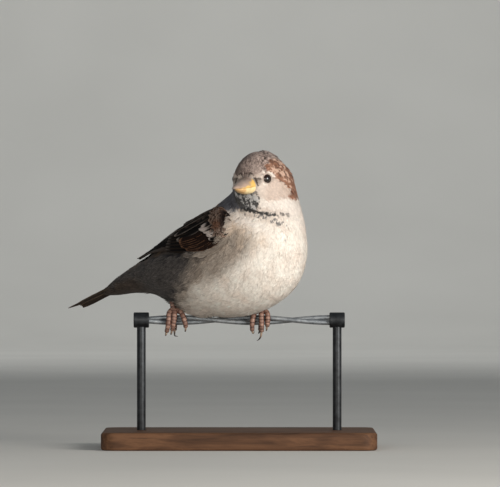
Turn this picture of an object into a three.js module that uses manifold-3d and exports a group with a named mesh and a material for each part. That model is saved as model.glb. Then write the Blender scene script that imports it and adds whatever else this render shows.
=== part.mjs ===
// A male house sparrow, life size, gripping a short length of twisted two-strand fence wire
// that a plain display stand carries. Millimetres, +Z up. The origin is the centre of the
// underside of the stand's base, and the wire runs along X.
//
// The bird is worked out in its own trunk frame: F forward, L to its left, U up, measured from
// the middle of the wire between its feet. The head is built looking forward in that frame,
// then its rings are turned about an upright axis through the neck, as a bird looks aside.
import * as THREE from 'three';
import { mergeVertices } from 'three/addons/utils/BufferGeometryUtils.js';
import Module from 'manifold-3d';

const wasm = await Module();
wasm.setup();

// ---- Driving dimensions -------------------------------------------------------------------

const GAP = 0.3;                 // clearance between neighbouring solids
const PERCH_HEIGHT = 58;         // wire centre above the underside of the base
const PERCH_X = -11;             // middle of the grip, from the middle of the base
const YAW = 38;                  // degrees the trunk heads away from the wire, to its right
const HEAD_TURN = -82;           // degrees the head is turned from the trunk (to its right)
const HEAD_AXIS_F = 29;          // upright neck axis in the unturned head
const NECK_AXIS = { F: 27.8, L: -1.0 };   // where that axis stands in the trunk

// The body as rings from bill root to tail: the ring's point on the back and on the belly
// (F, U), its half width, and how far down from the back its widest level lies (0 to 1).
const RINGS = [
  { at: 'bill root', back: [44.3, 66.0], belly: [43.2, 57.4], half: 5.0, level: 0.5 },
  { at: 'lores', back: [43.0, 69.6], belly: [42.8, 55.6], half: 6.8, level: 0.5 },
  { at: 'eye', back: [39.8, 73.8], belly: [42.6, 53.4], half: 8.2, level: 0.5 },
  { at: 'crown', back: [31.0, 76.6], belly: [43.0, 51.0], half: 10.2, level: 0.5 },
  { at: 'nape', back: [15.2, 70.6], belly: [44.2, 48.2], half: 13.6, level: 0.5 },
  { at: 'neck', back: [9.5, 59.2], belly: [45.8, 44.4], half: 17.4, level: 0.5 },
  { at: 'shoulder', back: [4.5, 51.7], belly: [47.2, 38.0], half: 21.4, level: 0.46 },
  { at: 'breast', back: [-3.5, 47.6], belly: [47.6, 28.5], half: 24.2, level: 0.44 },
  { at: 'trunk', back: [-12.0, 44.1], belly: [44.0, 17.0], half: 25.5, level: 0.42 },
  { at: 'belly', back: [-20.0, 40.1], belly: [34.5, 8.2], half: 25.1, level: 0.42 },
  { at: 'flank', back: [-27.5, 35.6], belly: [18.5, 2.1], half: 23.3, level: 0.42 },
  { at: 'vent', back: [-34.0, 31.2], belly: [0.0, 1.5], half: 19.5, level: 0.42 },
  { at: 'rump', back: [-39.5, 28.2], belly: [-18.0, 6.8], half: 15.0, level: 0.45 },
  { at: 'undertail', back: [-44.5, 25.2], belly: [-33.0, 11.2], half: 11.0, level: 0.45 },
  { at: 'coverts', back: [-50.0, 22.3], belly: [-46.0, 12.0], half: 8.5, level: 0.45 },
  { at: 'coverts end', back: [-56.0, 18.8], belly: [-56.0, 11.0], half: 6.6, level: 0.45 },
  { at: 'coverts tip', back: [-61.5, 15.2], belly: [-62.5, 10.8], half: 4.0, level: 0.5 },
];
const BODY_START = { F: 44.2, U: 62.0 };    // pole hidden behind the bill
const BODY_END = { F: -63.8, U: 12.9 };     // tip of the tail coverts
const BODY_STEPS = 32;
const BODY_SIDES = 24;
const TURNED_TO = 3.6;           // ring number up to which the head turns as one
const STRAIGHT_FROM = 6.3;       // ring number from which the trunk isn't turned

// Thin cuts that part head, neck and trunk: a point (F, L, U) and a normal for each plane.
const HEAD_CUT = { point: [27, 0, 57.5], normal: [0.2, -0.12, 1] };
const NECK_CUT = { point: [27, 0, 49.5], normal: [0.22, 0, 1] };

// Folded wing of the right side, as sections from the wrist to the tip of the primaries:
// lower edge and upper edge (F, L, U) and how far the feathers crown above that chord.
const WING_SECTIONS = [
  { low: [26.4, -23.4, 42.0], high: [24.2, -19.8, 46.6], crown: 0.8 },
  { low: [24.4, -26.0, 37.4], high: [15.5, -15.7, 50.8], crown: 2.7 },
  { low: [15.5, -27.2, 32.8], high: [6.5, -11.0, 50.2], crown: 3.8 },
  { low: [4.0, -26.6, 31.3], high: [-3.0, -8.0, 46.7], crown: 3.9 },
  { low: [-8.0, -23.6, 31.1], high: [-14.0, -5.6, 42.8], crown: 2.9 },
  { low: [-20.0, -19.2, 30.6], high: [-24.5, -4.5, 37.6], crown: 1.3 },
  { low: [-31.0, -13.2, 29.6], high: [-33.0, -4.2, 32.0], crown: 0.4 },
  { low: [-37.0, -8.8, 28.2], high: [-37.6, -5.0, 29.0], crown: 0.2 },
];
const WING_WRIST = [27.4, -22.0, 45.4];
const WING_TIP = [-40.2, -6.8, 27.9];
const WING_PROUD = 1.1;          // the wing's face outside its chord line
const WING_SUNK = 1.5;           // and inside it, under the body feathers
const WING_STEPS = 13;
const WING_ACROSS = 6;

// Tail: twelve feathers closed into one flat blade, from under the coverts to its tip.
const TAIL_ROOT = { F: -40, U: 22.0 };
const TAIL_TIP = { F: -82, U: 5.4 };
const TAIL_HALF_WIDTH = [4.6, 5.4, 6.2, 7.0, 7.8, 8.5, 9.1, 9.0];
const TAIL_THICKNESS = 2.4;
const TAIL_NOTCH = 1.6;          // outer feathers reach this far past the middle ones
const TAIL_ARCH = 1.6;           // the blade's edges droop this much

// Head details, in the turned head's own frame: f ahead of the neck axis, l to its left, U up.
const EYE = { f: 9.4, l: 7.1, U: 63.8, radius: 2.5 };
const SOCKET = { f: 9.5, l: 10.0, radius: 3.0 };
const BILL_BASE_F = 11.0;
const BILL_TIP = { f: 26.9, U: 59.2 };
const CULMEN_U = 65.9;           // top of the bill where it enters the feathers
const TOMIUM_U = 61.0;           // cutting edge there
const CHIN_U = 56.7;             // underside there
const BILL_HALF = 5.7;
const BILL_TAPER = 1.1;          // power at which the bill narrows from base to tip
const LOWER_TIP_F = 25.4;

// Wire: two strands laid round each other.
const STRAND_RADIUS = 1.1;
const STRAND_OFFSET = 1.26;      // strand centre from the wire's own centre
const LAY = 70;                  // length of one full twist
const LAY_FRONT_X = 24.3;        // where strand a lies at the front, from the middle of the base
const WIRE_HALF = 44;            // half of the cut length

// Stand.
const BASE = { length: 124, depth: 84, height: 8, corner: 7, edge: 0.8 };
const ROD_RADIUS = 2.0;
const CLIP = { radius: 3.5, length: 7 };
const CLIP_X = 44.5;

// Legs and toes, as centre lines (X along the wire from the middle of the grip, Y away from
// the breast, Z above the wire's centre) with a radius at each end.
const LEGS = {
  right: { top: [-20.2, 1.6, 13.0], foot: [-18.8, -0.2, 4.9], radius: [1.25, 1.35] },
  left: { top: [20.6, 1.8, 12.0], foot: [20.7, -0.2, 5.1], radius: [1.25, 1.35] },
};
const TOES = {
  right: {
    1: { line: [[-18.7, 1.9, 4.4], [-18.5, 3.5, 2.4], [-18.4, 4.0, -0.4], [-18.4, 3.0, -3.2], [-18.4, 1.3, -4.5]],
      claw: [[-18.4, 0.5, -4.8], [-18.4, -0.9, -5.9], [-18.1, -1.6, -7.3], [-16.9, -1.7, -7.2]] },
    2: { line: [[-17.1, -1.5, 4.4], [-15.4, -2.6, 3.4], [-14.2, -3.9, 1.0], [-13.5, -4.1, -1.4], [-13.3, -3.2, -3.2]],
      claw: [[-13.3, -2.6, -3.9], [-13.5, -1.5, -4.9], [-13.9, -0.1, -5.1]] },
    3: { line: [[-18.5, -2.2, 4.5], [-18.4, -3.6, 2.6], [-18.6, -4.3, 0.0], [-19.0, -4.0, -2.6], [-19.5, -3.0, -4.6]],
      claw: [[-19.7, -2.4, -5.4], [-20.0, -1.1, -6.3], [-20.3, 0.3, -6.2]] },
    4: { line: [[-20.2, -1.5, 4.2], [-20.8, -3.1, 3.0], [-21.0, -4.1, 0.4], [-21.3, -4.1, -2.6], [-22.0, -3.1, -5.4]],
      claw: [[-22.2, -2.4, -6.1], [-22.4, -1.0, -6.8], [-22.4, 0.4, -6.4]] },
  },
  left: {
    1: { line: [[20.9, 1.9, 4.5], [21.0, 3.5, 2.4], [21.0, 4.0, -0.4], [20.8, 3.0, -3.2], [20.5, 1.4, -4.5]],
      claw: [[20.3, 0.7, -4.9], [20.0, -0.6, -5.7], [19.5, -1.9, -6.0]] },
    2: { line: [[19.2, -1.5, 4.5], [17.9, -2.9, 3.2], [17.2, -4.1, 0.8], [16.9, -4.3, -2.0], [16.9, -3.4, -4.8]],
      claw: [[17.0, -2.7, -5.5], [17.4, -1.4, -5.9], [18.0, -0.2, -5.2]] },
    3: { line: [[20.9, -2.2, 4.6], [21.0, -3.7, 2.8], [21.1, -4.4, 0.2], [21.2, -4.3, -2.6], [21.2, -3.6, -5.2]],
      claw: [[21.1, -3.2, -5.9], [20.7, -2.7, -7.6], [19.9, -2.5, -8.8], [18.9, -2.3, -9.4]] },
    4: { line: [[22.4, -1.5, 4.5], [23.6, -2.9, 3.2], [24.0, -4.0, 0.8], [23.9, -4.0, -1.2], [23.7, -3.3, -2.8]],
      claw: [[23.6, -2.7, -3.6], [23.4, -1.5, -4.5], [23.2, -0.2, -4.8]] },
  },
};
const TOE_RADIUS = [1.05, 0.85];
const CLAW_RADIUS = [0.6, 0.28];

// ---- Materials ----------------------------------------------------------------------------

const finish = (color, roughness = 0.8, metalness = 0) =>
  new THREE.MeshStandardMaterial({ color, roughness, metalness });

const MATERIAL = {
  head: finish(0x8c7d70),
  neck: finish(0xb0a294),
  trunk: finish(0xc4b4a0),
  wing: finish(0x5a4636),
  tail: finish(0x4a3f37),
  bill: finish(0xc9993f, 0.45),
  eye: finish(0x120c0a, 0.08),
  leg: finish(0x9a6a58, 0.55),
  claw: finish(0x3a2f2a, 0.4),
  wire: finish(0x8b9098, 0.45, 0.8),
  rod: finish(0x3c3e42, 0.4, 0.6),
  base: finish(0x6b5240, 0.6),
};

// ---- Small geometry helpers ---------------------------------------------------------------

const rad = THREE.MathUtils.degToRad;
const V = (p) => new THREE.Vector3(...p);

/** Uniform Catmull-Rom through rows of numbers, at t from 0 to 1. */
function alongRows(rows, t) {
  const last = rows.length - 1;
  const x = THREE.MathUtils.clamp(t, 0, 1) * last;
  const i = Math.min(Math.floor(x), last - 1);
  const w = x - i;
  const row = (k) => {
    if (k < 0) return rows[0].map((v, n) => 2 * v - rows[1][n]);
    if (k > last) return rows[last].map((v, n) => 2 * v - rows[last - 1][n]);
    return rows[k];
  };
  const [a, b, c, d] = [row(i - 1), row(i), row(i + 1), row(i + 2)];
  return b.map((v, n) => 0.5 * (2 * v + (c[n] - a[n]) * w
    + (2 * a[n] - 5 * v + 4 * c[n] - d[n]) * w * w
    + (3 * v - a[n] - 3 * c[n] + d[n]) * w * w * w));
}

/** Closed surface through rings of points, shut by one pole point at each end. */
function closedLoft(rings, startPole, endPole) {
  const sides = rings[0].length;
  const points = [startPole, ...rings.flat(), endPole];
  const end = points.length - 1;
  const at = (i, j) => 1 + i * sides + (j % sides);
  const faces = [];
  for (let j = 0; j < sides; j += 1) {
    faces.push([0, at(0, j + 1), at(0, j)]);
    for (let i = 0; i < rings.length - 1; i += 1) {
      faces.push([at(i, j), at(i, j + 1), at(i + 1, j + 1)]);
      faces.push([at(i, j), at(i + 1, j + 1), at(i + 1, j)]);
    }
    faces.push([end, at(rings.length - 1, j), at(rings.length - 1, j + 1)]);
  }
  // Six times the enclosed volume tells which way round the faces run.
  const volume = faces.reduce((sum, [a, b, c]) =>
    sum + points[a].dot(new THREE.Vector3().crossVectors(points[b], points[c])), 0);
  if (volume < 0) faces.forEach((face) => face.reverse());
  const geometry = new THREE.BufferGeometry();
  geometry.setAttribute('position',
    new THREE.Float32BufferAttribute(points.flatMap((p) => p.toArray()), 3));
  geometry.setIndex(faces.flat());
  return geometry;
}

/** Round tube along points, its radius running from radii[0] to radii[1], with rounded ends. */
function taperedTube(points, radii, grow = 0, sides = 8, steps = 6) {
  const curve = new THREE.CatmullRomCurve3(points.map(V));
  const frames = curve.computeFrenetFrames(steps);
  const rings = [];
  for (let i = 0; i <= steps; i += 1) {
    const t = i / steps;
    const radius = THREE.MathUtils.lerp(radii[0], radii[1], t) + grow;
    const centre = curve.getPointAt(t);
    const ring = [];
    for (let j = 0; j < sides; j += 1) {
      const angle = (2 * Math.PI * j) / sides;
      ring.push(centre.clone()
        .addScaledVector(frames.normals[i], radius * Math.cos(angle))
        .addScaledVector(frames.binormals[i], radius * Math.sin(angle)));
    }
    rings.push(ring);
  }
  const overrun = (radius) => 0.6 * radius + grow;
  const startPole = curve.getPointAt(0).addScaledVector(frames.tangents[0], -overrun(radii[0]));
  const endPole = curve.getPointAt(1).addScaledVector(frames.tangents[steps], overrun(radii[1]));
  return closedLoft(rings, startPole, endPole);
}

/** Geometry to manifold solid: shared corners merged, position only. */
function solidOf(geometry) {
  const bare = new THREE.BufferGeometry();
  bare.setAttribute('position', geometry.getAttribute('position').clone());
  bare.setIndex(geometry.index);
  const merged = mergeVertices(bare, 1e-4);
  return new wasm.Manifold(new wasm.Mesh({
    numProp: 3,
    vertProperties: new Float32Array(merged.getAttribute('position').array),
    triVerts: new Uint32Array(merged.index.array),
  }));
}

/** Manifold solid to geometry. */
function geometryOf(solid) {
  const mesh = solid.getMesh();
  const geometry = new THREE.BufferGeometry();
  geometry.setAttribute('position', new THREE.Float32BufferAttribute(mesh.vertProperties, 3));
  geometry.setIndex(Array.from(mesh.triVerts));
  return geometry;
}

/** A solid less every cutter. */
const less = (solid, cutters) => cutters.reduce((rest, cutter) => rest.subtract(cutter), solid);

// ---- From the bird's frames to the model's -------------------------------------------------

/** Trunk frame (F, L, U) to the model. */
function fromTrunk(F, L, U) {
  const c = Math.cos(rad(YAW));
  const s = Math.sin(rad(YAW));
  return new THREE.Vector3(F * c + L * s + PERCH_X, -F * s + L * c, U + PERCH_HEIGHT);
}

/** Turned head's frame (f ahead, l left, U up) to the model. */
function fromHead(f, l, U) {
  const c = Math.cos(rad(HEAD_TURN));
  const s = Math.sin(rad(HEAD_TURN));
  return fromTrunk(NECK_AXIS.F + c * f - s * l, NECK_AXIS.L + s * f + c * l, U);
}

/** Grip frame (X along the wire, Y, Z above the wire) to the model, as a plain array. */
const fromGrip = ([x, y, z]) => [x + PERCH_X, y, z + PERCH_HEIGHT];

// ---- Flesh --------------------------------------------------------------------------------

/** Share of the head's turn that the body takes at a ring number: 1 at the head, 0 below. */
const turnShare = (ring) => 1 - THREE.MathUtils.smoothstep(ring, TURNED_TO, STRAIGHT_FROM);

/** Head, neck and trunk as one closed surface. Each ring turns about the neck axis. */
function bodySurface() {
  const rows = RINGS.map((r) => [...r.back, ...r.belly, r.half, r.level]);
  const rings = [];
  for (let i = 0; i <= BODY_STEPS; i += 1) {
    const t = i / BODY_STEPS;
    const [backF, backU, bellyF, bellyU, half, level] = alongRows(rows, t);
    const centreF = backF + (bellyF - backF) * level;
    const centreU = backU + (bellyU - backU) * level;
    const share = turnShare(t * (RINGS.length - 1));
    const angle = rad(HEAD_TURN * share);
    const ring = [];
    for (let j = 0; j < BODY_SIDES; j += 1) {
      const round = (2 * Math.PI * j) / BODY_SIDES;
      const up = Math.cos(round);
      const reachF = up > 0 ? (backF - centreF) * up : (bellyF - centreF) * -up;
      const reachU = up > 0 ? (backU - centreU) * up : (bellyU - centreU) * -up;
      const f = centreF + reachF - HEAD_AXIS_F;
      const l = half * Math.sin(round);
      ring.push(fromTrunk(
        HEAD_AXIS_F + (NECK_AXIS.F - HEAD_AXIS_F) * share + Math.cos(angle) * f - Math.sin(angle) * l,
        NECK_AXIS.L * share + Math.sin(angle) * f + Math.cos(angle) * l,
        centreU + reachU,
      ));
    }
    rings.push(ring);
  }
  const start = fromHead(BODY_START.F - HEAD_AXIS_F, 0, BODY_START.U);
  return closedLoft(rings, start, fromTrunk(BODY_END.F, 0, BODY_END.U));
}

/** Everything on the side of a plane that its normal points to, moved along it by shift. */
function halfSpace({ point, normal }, side, shift) {
  const size = 300;
  const origin = fromTrunk(...point);
  const direction = fromTrunk(...normal).sub(fromTrunk(0, 0, 0)).normalize();
  const box = new THREE.BoxGeometry(size, size, size);
  box.applyQuaternion(new THREE.Quaternion().setFromUnitVectors(new THREE.Vector3(0, 0, 1), direction));
  const centre = origin.addScaledVector(direction, side * (size / 2) + shift);
  return solidOf(box.translate(...centre.toArray()));
}

// ---- Wings and tail -----------------------------------------------------------------------

/** Folded wing: a crowned lens of feathers, section by section from wrist to tip. */
function wingSurface(side, grow = 0) {
  const rows = WING_SECTIONS.map((s) => [...s.low, ...s.high, s.crown]);
  const mirror = side === 'left' ? -1 : 1;
  const place = (p) => fromTrunk(p.x, mirror * p.y, p.z);
  const sections = [];
  for (let i = 0; i <= WING_STEPS; i += 1) {
    const row = alongRows(rows, i / WING_STEPS);
    sections.push({ low: V(row.slice(0, 3)), high: V(row.slice(3, 6)), crown: row[6] });
  }
  const middle = (s) => s.low.clone().add(s.high).multiplyScalar(0.5);
  const rings = sections.map((section, i) => {
    const before = middle(sections[Math.max(i - 1, 0)]);
    const after = middle(sections[Math.min(i + 1, WING_STEPS)]);
    const chord = section.high.clone().sub(section.low);
    const outward = new THREE.Vector3().crossVectors(chord, after.sub(before)).normalize();
    if (outward.y > 0) outward.negate();
    const extend = chord.clone().normalize().multiplyScalar(grow);
    const low = section.low.clone().sub(extend);
    const high = section.high.clone().add(extend);
    const across = (t, depth) => low.clone().lerp(high, t)
      .addScaledVector(outward, 4 * section.crown * t * (1 - t) + depth);
    const swell = (t) => 0.35 + 0.65 * Math.sin(Math.PI * t);
    const ring = [];
    for (let k = 0; k <= WING_ACROSS; k += 1) {
      const t = k / WING_ACROSS;
      ring.push(across(t, WING_PROUD * swell(t) + grow));
    }
    for (let k = WING_ACROSS; k >= 0; k -= 1) {
      const t = k / WING_ACROSS;
      ring.push(across(t, -WING_SUNK * swell(t) - grow));
    }
    return ring.map(place);
  });
  const lengthwise = V(WING_WRIST).sub(V(WING_TIP)).normalize().multiplyScalar(grow);
  return closedLoft(rings, place(V(WING_WRIST).add(lengthwise)), place(V(WING_TIP).sub(lengthwise)));
}

/** Tail blade: a flat, drooping, slightly notched fan. */
function tailSurface(grow = 0) {
  const steps = 10;
  const sides = 16;
  const rings = [];
  for (let i = 0; i <= steps; i += 1) {
    const t = i / steps;
    const [half] = alongRows(TAIL_HALF_WIDTH.map((w) => [w]), t);
    const thick = (TAIL_THICKNESS / 2) * (1 - 0.45 * t) + grow;
    const ring = [];
    for (let j = 0; j < sides; j += 1) {
      const round = (2 * Math.PI * j) / sides;
      const across = Math.sign(Math.cos(round)) * Math.abs(Math.cos(round)) ** 0.7;
      const notch = TAIL_NOTCH * t ** 4 * across * across;
      const F = THREE.MathUtils.lerp(TAIL_ROOT.F, TAIL_TIP.F + TAIL_NOTCH, t) - notch;
      const U = THREE.MathUtils.lerp(TAIL_ROOT.U, TAIL_TIP.U, t)
        - TAIL_ARCH * across * across + thick * Math.sin(round);
      ring.push(fromTrunk(F, (half + grow) * across, U));
    }
    rings.push(ring);
  }
  const start = fromTrunk(TAIL_ROOT.F + 0.6 + grow, 0, TAIL_ROOT.U);
  const end = fromTrunk(TAIL_TIP.F + TAIL_NOTCH - 0.4 - grow, 0, TAIL_TIP.U);
  return closedLoft(rings, start, end);
}

// ---- Head details -------------------------------------------------------------------------

/** Eyeball on one side (+1 left, -1 right). */
function eyeSurface(side, grow = 0) {
  const ball = new THREE.SphereGeometry(EYE.radius + grow, 14, 9);
  return ball.translate(...fromHead(EYE.f, side * EYE.l, EYE.U).toArray());
}

/** Shallow hollow in the feathers in which the eye shows. */
function socketSurface(side) {
  const hollow = new THREE.SphereGeometry(SOCKET.radius, 12, 8);
  return hollow.translate(...fromHead(SOCKET.f, side * SOCKET.l, EYE.U).toArray());
}

/**
 * One half of the conical bill. Sections run from inside the head to the tip; each is half an
 * ellipse standing on the cutting edge, above it for the upper half and below for the lower.
 */
function billSurface(upper, grow = 0) {
  const steps = 8;
  const sides = 10;
  const tipF = upper ? BILL_TIP.f : LOWER_TIP_F;
  const ridgeU = upper ? CULMEN_U : CHIN_U;
  const edgeShift = upper ? GAP / 2 : -GAP / 2;
  const rings = [];
  for (let i = 0; i < steps; i += 1) {
    const t = (i / steps) ** 0.85;
    const f = THREE.MathUtils.lerp(BILL_BASE_F, tipF, t);
    // The cutting edge dips a little at the gape and runs to the tip.
    const edgeU = THREE.MathUtils.lerp(TOMIUM_U, BILL_TIP.U, t) - 0.5 * Math.sin(Math.PI * t) ** 2;
    // The culmen is strongly curved, the underside nearly straight.
    const fall = upper ? 1 - t ** 1.75 : 1 - t ** 1.25;
    const height = (ridgeU - TOMIUM_U) * fall;
    const half = BILL_HALF * (1 - t ** BILL_TAPER) + 0.25 + grow;
    const ring = [];
    for (let j = 0; j < sides; j += 1) {
      const round = (Math.PI * j) / (sides - 1);
      const reach = Math.sin(round) * (height + Math.sign(height) * grow);
      const lift = edgeShift - (j === 0 || j === sides - 1 ? Math.sign(height) * grow : 0);
      ring.push(fromHead(f, half * Math.cos(round), edgeU + lift + reach));
    }
    rings.push(ring);
  }
  const start = fromHead(BILL_BASE_F - 0.2 - grow, 0, TOMIUM_U + (ridgeU - TOMIUM_U) * 0.4);
  const tip = fromHead(tipF + grow, 0, BILL_TIP.U + edgeShift);
  return closedLoft(rings, start, tip);
}

// ---- Wire and stand -----------------------------------------------------------------------

/** Centre line of one strand: a long helix about the wire's own centre. */
class StrandCurve extends THREE.Curve {
  constructor(phase) {
    super();
    this.phase = phase;
  }

  getPoint(t, target = new THREE.Vector3()) {
    const x = WIRE_HALF * (2 * t - 1);
    const angle = (2 * Math.PI * (x - LAY_FRONT_X)) / LAY + this.phase;
    return target.set(x, -STRAND_OFFSET * Math.cos(angle), PERCH_HEIGHT - STRAND_OFFSET * Math.sin(angle));
  }
}

/** One strand of the wire as a tube. */
function strandSurface(phase, grow = 0) {
  const section = new THREE.Shape();
  section.absarc(0, 0, STRAND_RADIUS + grow, 0, 2 * Math.PI);
  return new THREE.ExtrudeGeometry(section, {
    steps: 24, curveSegments: 4, extrudePath: new StrandCurve(phase),
  });
}

/** Base plate: a rounded rectangle with softened edges, its underside at Z = 0. */
function baseSurface() {
  const { length, depth, height, corner, edge } = BASE;
  const x = length / 2 - edge;
  const y = depth / 2 - edge;
  const shape = new THREE.Shape();
  shape.moveTo(-x + corner, -y);
  shape.lineTo(x - corner, -y);
  shape.absarc(x - corner, -y + corner, corner, -Math.PI / 2, 0);
  shape.lineTo(x, y - corner);
  shape.absarc(x - corner, y - corner, corner, 0, Math.PI / 2);
  shape.lineTo(-x + corner, y);
  shape.absarc(-x + corner, y - corner, corner, Math.PI / 2, Math.PI);
  shape.lineTo(-x, -y + corner);
  shape.absarc(-x + corner, -y + corner, corner, Math.PI, 1.5 * Math.PI);
  const plate = new THREE.ExtrudeGeometry(shape, {
    depth: height - 2 * edge, bevelThickness: edge, bevelSize: edge, bevelSegments: 1, curveSegments: 4,
  });
  return plate.translate(0, 0, edge);
}

/** Upright rod under one clip. */
function rodSurface(x) {
  const bottom = BASE.height + GAP;
  const top = PERCH_HEIGHT - CLIP.radius - GAP;
  const rod = new THREE.CylinderGeometry(ROD_RADIUS, ROD_RADIUS, top - bottom, 16);
  return rod.rotateX(Math.PI / 2).translate(x, 0, (top + bottom) / 2);
}

/** Short round clip that the end of the wire goes into. */
function clipSurface(x) {
  const clip = new THREE.CylinderGeometry(CLIP.radius, CLIP.radius, CLIP.length, 18);
  return clip.rotateZ(Math.PI / 2).translate(x, 0, PERCH_HEIGHT);
}

// ---- Assembly -----------------------------------------------------------------------------

const sparrow = new THREE.Group();
sparrow.name = 'house_sparrow';

function addPart(name, geometry, material) {
  const mesh = new THREE.Mesh(geometry, material);
  mesh.name = name;
  sparrow.add(mesh);
}

const SIDES = ['left', 'right'];
const sign = { left: 1, right: -1 };
const strandPhases = { a: 0, b: Math.PI };
const grownWire = Object.values(strandPhases).map((phase) => solidOf(strandSurface(phase, GAP)));

const legLine = (side) => [LEGS[side].top, LEGS[side].foot].map(fromGrip);
const legSolid = (side, grow) => solidOf(taperedTube(legLine(side), LEGS[side].radius, grow, 10, 3));
const toeSolid = (side, n, grow) =>
  solidOf(taperedTube(TOES[side][n].line.map(fromGrip), TOE_RADIUS, grow));

// Head, neck and trunk: one surface, hollowed for what sits in it, then parted by thin cuts.
const fleshCutters = [
  solidOf(tailSurface(GAP)),
  ...SIDES.map((side) => solidOf(wingSurface(side, GAP))),
  ...SIDES.map((side) => solidOf(eyeSurface(sign[side], GAP))),
  ...SIDES.map((side) => solidOf(socketSurface(sign[side]))),
  solidOf(billSurface(true, GAP)),
  solidOf(billSurface(false, GAP)),
  ...SIDES.map((side) => legSolid(side, GAP)),
  ...SIDES.flatMap((side) => [1, 2, 3, 4].map((n) => toeSolid(side, n, GAP))),
  ...grownWire,
];
const flesh = less(solidOf(bodySurface()), fleshCutters);
const half = GAP / 2;
addPart('head', geometryOf(flesh.intersect(halfSpace(HEAD_CUT, 1, half))), MATERIAL.head);
addPart('neck', geometryOf(flesh.intersect(halfSpace(HEAD_CUT, -1, -half))
  .intersect(halfSpace(NECK_CUT, 1, half))), MATERIAL.neck);
addPart('trunk', geometryOf(flesh.intersect(halfSpace(NECK_CUT, -1, -half))), MATERIAL.trunk);

addPart('tail', tailSurface(), MATERIAL.tail);
addPart('bill_upper', billSurface(true), MATERIAL.bill);
addPart('bill_lower', billSurface(false), MATERIAL.bill);

for (const side of SIDES) {
  addPart(`wing_${side}`, geometryOf(less(solidOf(wingSurface(side)), [solidOf(tailSurface(GAP))])),
    MATERIAL.wing);
  addPart(`eye_${side}`, eyeSurface(sign[side]), MATERIAL.eye);
  addPart(`leg_${side}`, geometryOf(legSolid(side, 0)), MATERIAL.leg);
  const beside = [legSolid(side, GAP)];
  for (const n of [1, 2, 3, 4]) {
    const toe = less(toeSolid(side, n, 0), [...beside, ...grownWire]);
    beside.push(toeSolid(side, n, GAP));
    addPart(`toe_${side}_${n}`, geometryOf(toe), MATERIAL.leg);
  }
  for (const n of [1, 2, 3, 4]) {
    const claw = solidOf(taperedTube(TOES[side][n].claw.map(fromGrip), CLAW_RADIUS, 0, 6, 4));
    addPart(`claw_${side}_${n}`, geometryOf(less(claw, [...beside, ...grownWire])), MATERIAL.claw);
  }
}

for (const [letter, phase] of Object.entries(strandPhases)) {
  addPart(`perch_strand_${letter}`, strandSurface(phase), MATERIAL.wire);
}
addPart('stand_base', baseSurface(), MATERIAL.base);
for (const side of SIDES) {
  const x = side === 'left' ? -CLIP_X : CLIP_X;
  addPart(`stand_rod_${side}`, rodSurface(x), MATERIAL.rod);
  addPart(`stand_clip_${side}`, geometryOf(less(solidOf(clipSurface(x)), grownWire)), MATERIAL.rod);
}

export default sparrow;
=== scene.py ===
# %% [markdown]
# # A cock house sparrow on a twisted wire
# This notebook dresses a finished set of solids: a house sparrow in autumn plumage that grips
# a short length of two-strand wire on a plain display stand. The solids come first and never
# move. They give the place and size of everything, so each step below grows a surface over
# them: one skin, a coat of small feathers, the big feathers of wings and tail, the bill, the
# eyes, the feet, the wire and the stand.

# %% Load the solids and keep their box
import bpy
import numpy as np
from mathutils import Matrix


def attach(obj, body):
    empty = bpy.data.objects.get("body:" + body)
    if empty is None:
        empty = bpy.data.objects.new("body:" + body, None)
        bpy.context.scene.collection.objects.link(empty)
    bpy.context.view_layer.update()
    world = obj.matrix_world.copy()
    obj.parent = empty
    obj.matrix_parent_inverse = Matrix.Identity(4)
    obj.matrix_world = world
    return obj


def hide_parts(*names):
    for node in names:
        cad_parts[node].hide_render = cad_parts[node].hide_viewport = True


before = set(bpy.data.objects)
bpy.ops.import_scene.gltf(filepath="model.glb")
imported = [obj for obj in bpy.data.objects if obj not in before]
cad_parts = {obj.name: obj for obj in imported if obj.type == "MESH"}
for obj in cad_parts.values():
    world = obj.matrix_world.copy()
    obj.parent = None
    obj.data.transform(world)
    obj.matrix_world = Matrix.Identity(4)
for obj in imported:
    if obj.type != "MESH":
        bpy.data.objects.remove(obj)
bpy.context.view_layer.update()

MM = 0.001                       # the tables below are in millimetres, the scene in metres

# %% [markdown]
# ## Colours, numbers and meshes
# Small helpers come first. Colours are written as they look on a screen and turned into the
# linear values that a renderer adds up. Meshes are filled from whole numpy arrays, which is
# the quick way to make thousands of feathers. Random numbers come from seeded generators, so
# that each run grows the same bird.

# %% Helpers for colours and smooth numbers
rng = np.random.default_rng(1758)


def tint(text):
    """Linear colour from six hex digits: each channel goes through the screen's own curve."""
    value = np.array([int(text[i:i + 2], 16) for i in (0, 2, 4)]) / 255
    return np.where(value <= 0.04045, value / 12.92, ((value + 0.055) / 1.055) ** 2.4)


def smooth(x, low, high):
    """0 below low, 1 above high, and an S-shaped ramp between them."""
    u = np.clip((x - low) / (high - low), 0, 1)
    return u * u * (3 - 2 * u)


def mix(a, b, share):
    """a where share is 0, b where it is 1, and a straight blend between."""
    share = np.asarray(share)[..., None]
    return a * (1 - share) + b * share


def unit(v):
    """Vectors scaled to length one."""
    return v / np.maximum(np.linalg.norm(v, axis=-1, keepdims=True), 1e-12)


def vectors(*parts):
    """Vectors from their parts: numbers or arrays, spread out to one shape."""
    return np.stack(np.broadcast_arrays(*parts), axis=-1)


def along_rows(rows, t):
    """Smooth values between the rows of a table, for t from 0 to 1: a uniform Catmull-Rom
    curve through every column, its slope at a row being half the step between the row's
    neighbours."""
    rows = np.asarray(rows, float)
    last = len(rows) - 1
    x = np.clip(t, 0, 1) * last
    i = np.minimum(np.floor(x).astype(int), last - 1)
    w = (x - i)[..., None]
    padded = np.vstack([2 * rows[0] - rows[1], rows, 2 * rows[-1] - rows[-2]])
    a, b, c, d = (padded[i + k] for k in range(4))
    return 0.5 * (2 * b + (c - a) * w + (2 * a - 5 * b + 4 * c - d) * w ** 2
                  + (3 * b - a - 3 * c + d) * w ** 3)


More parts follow.
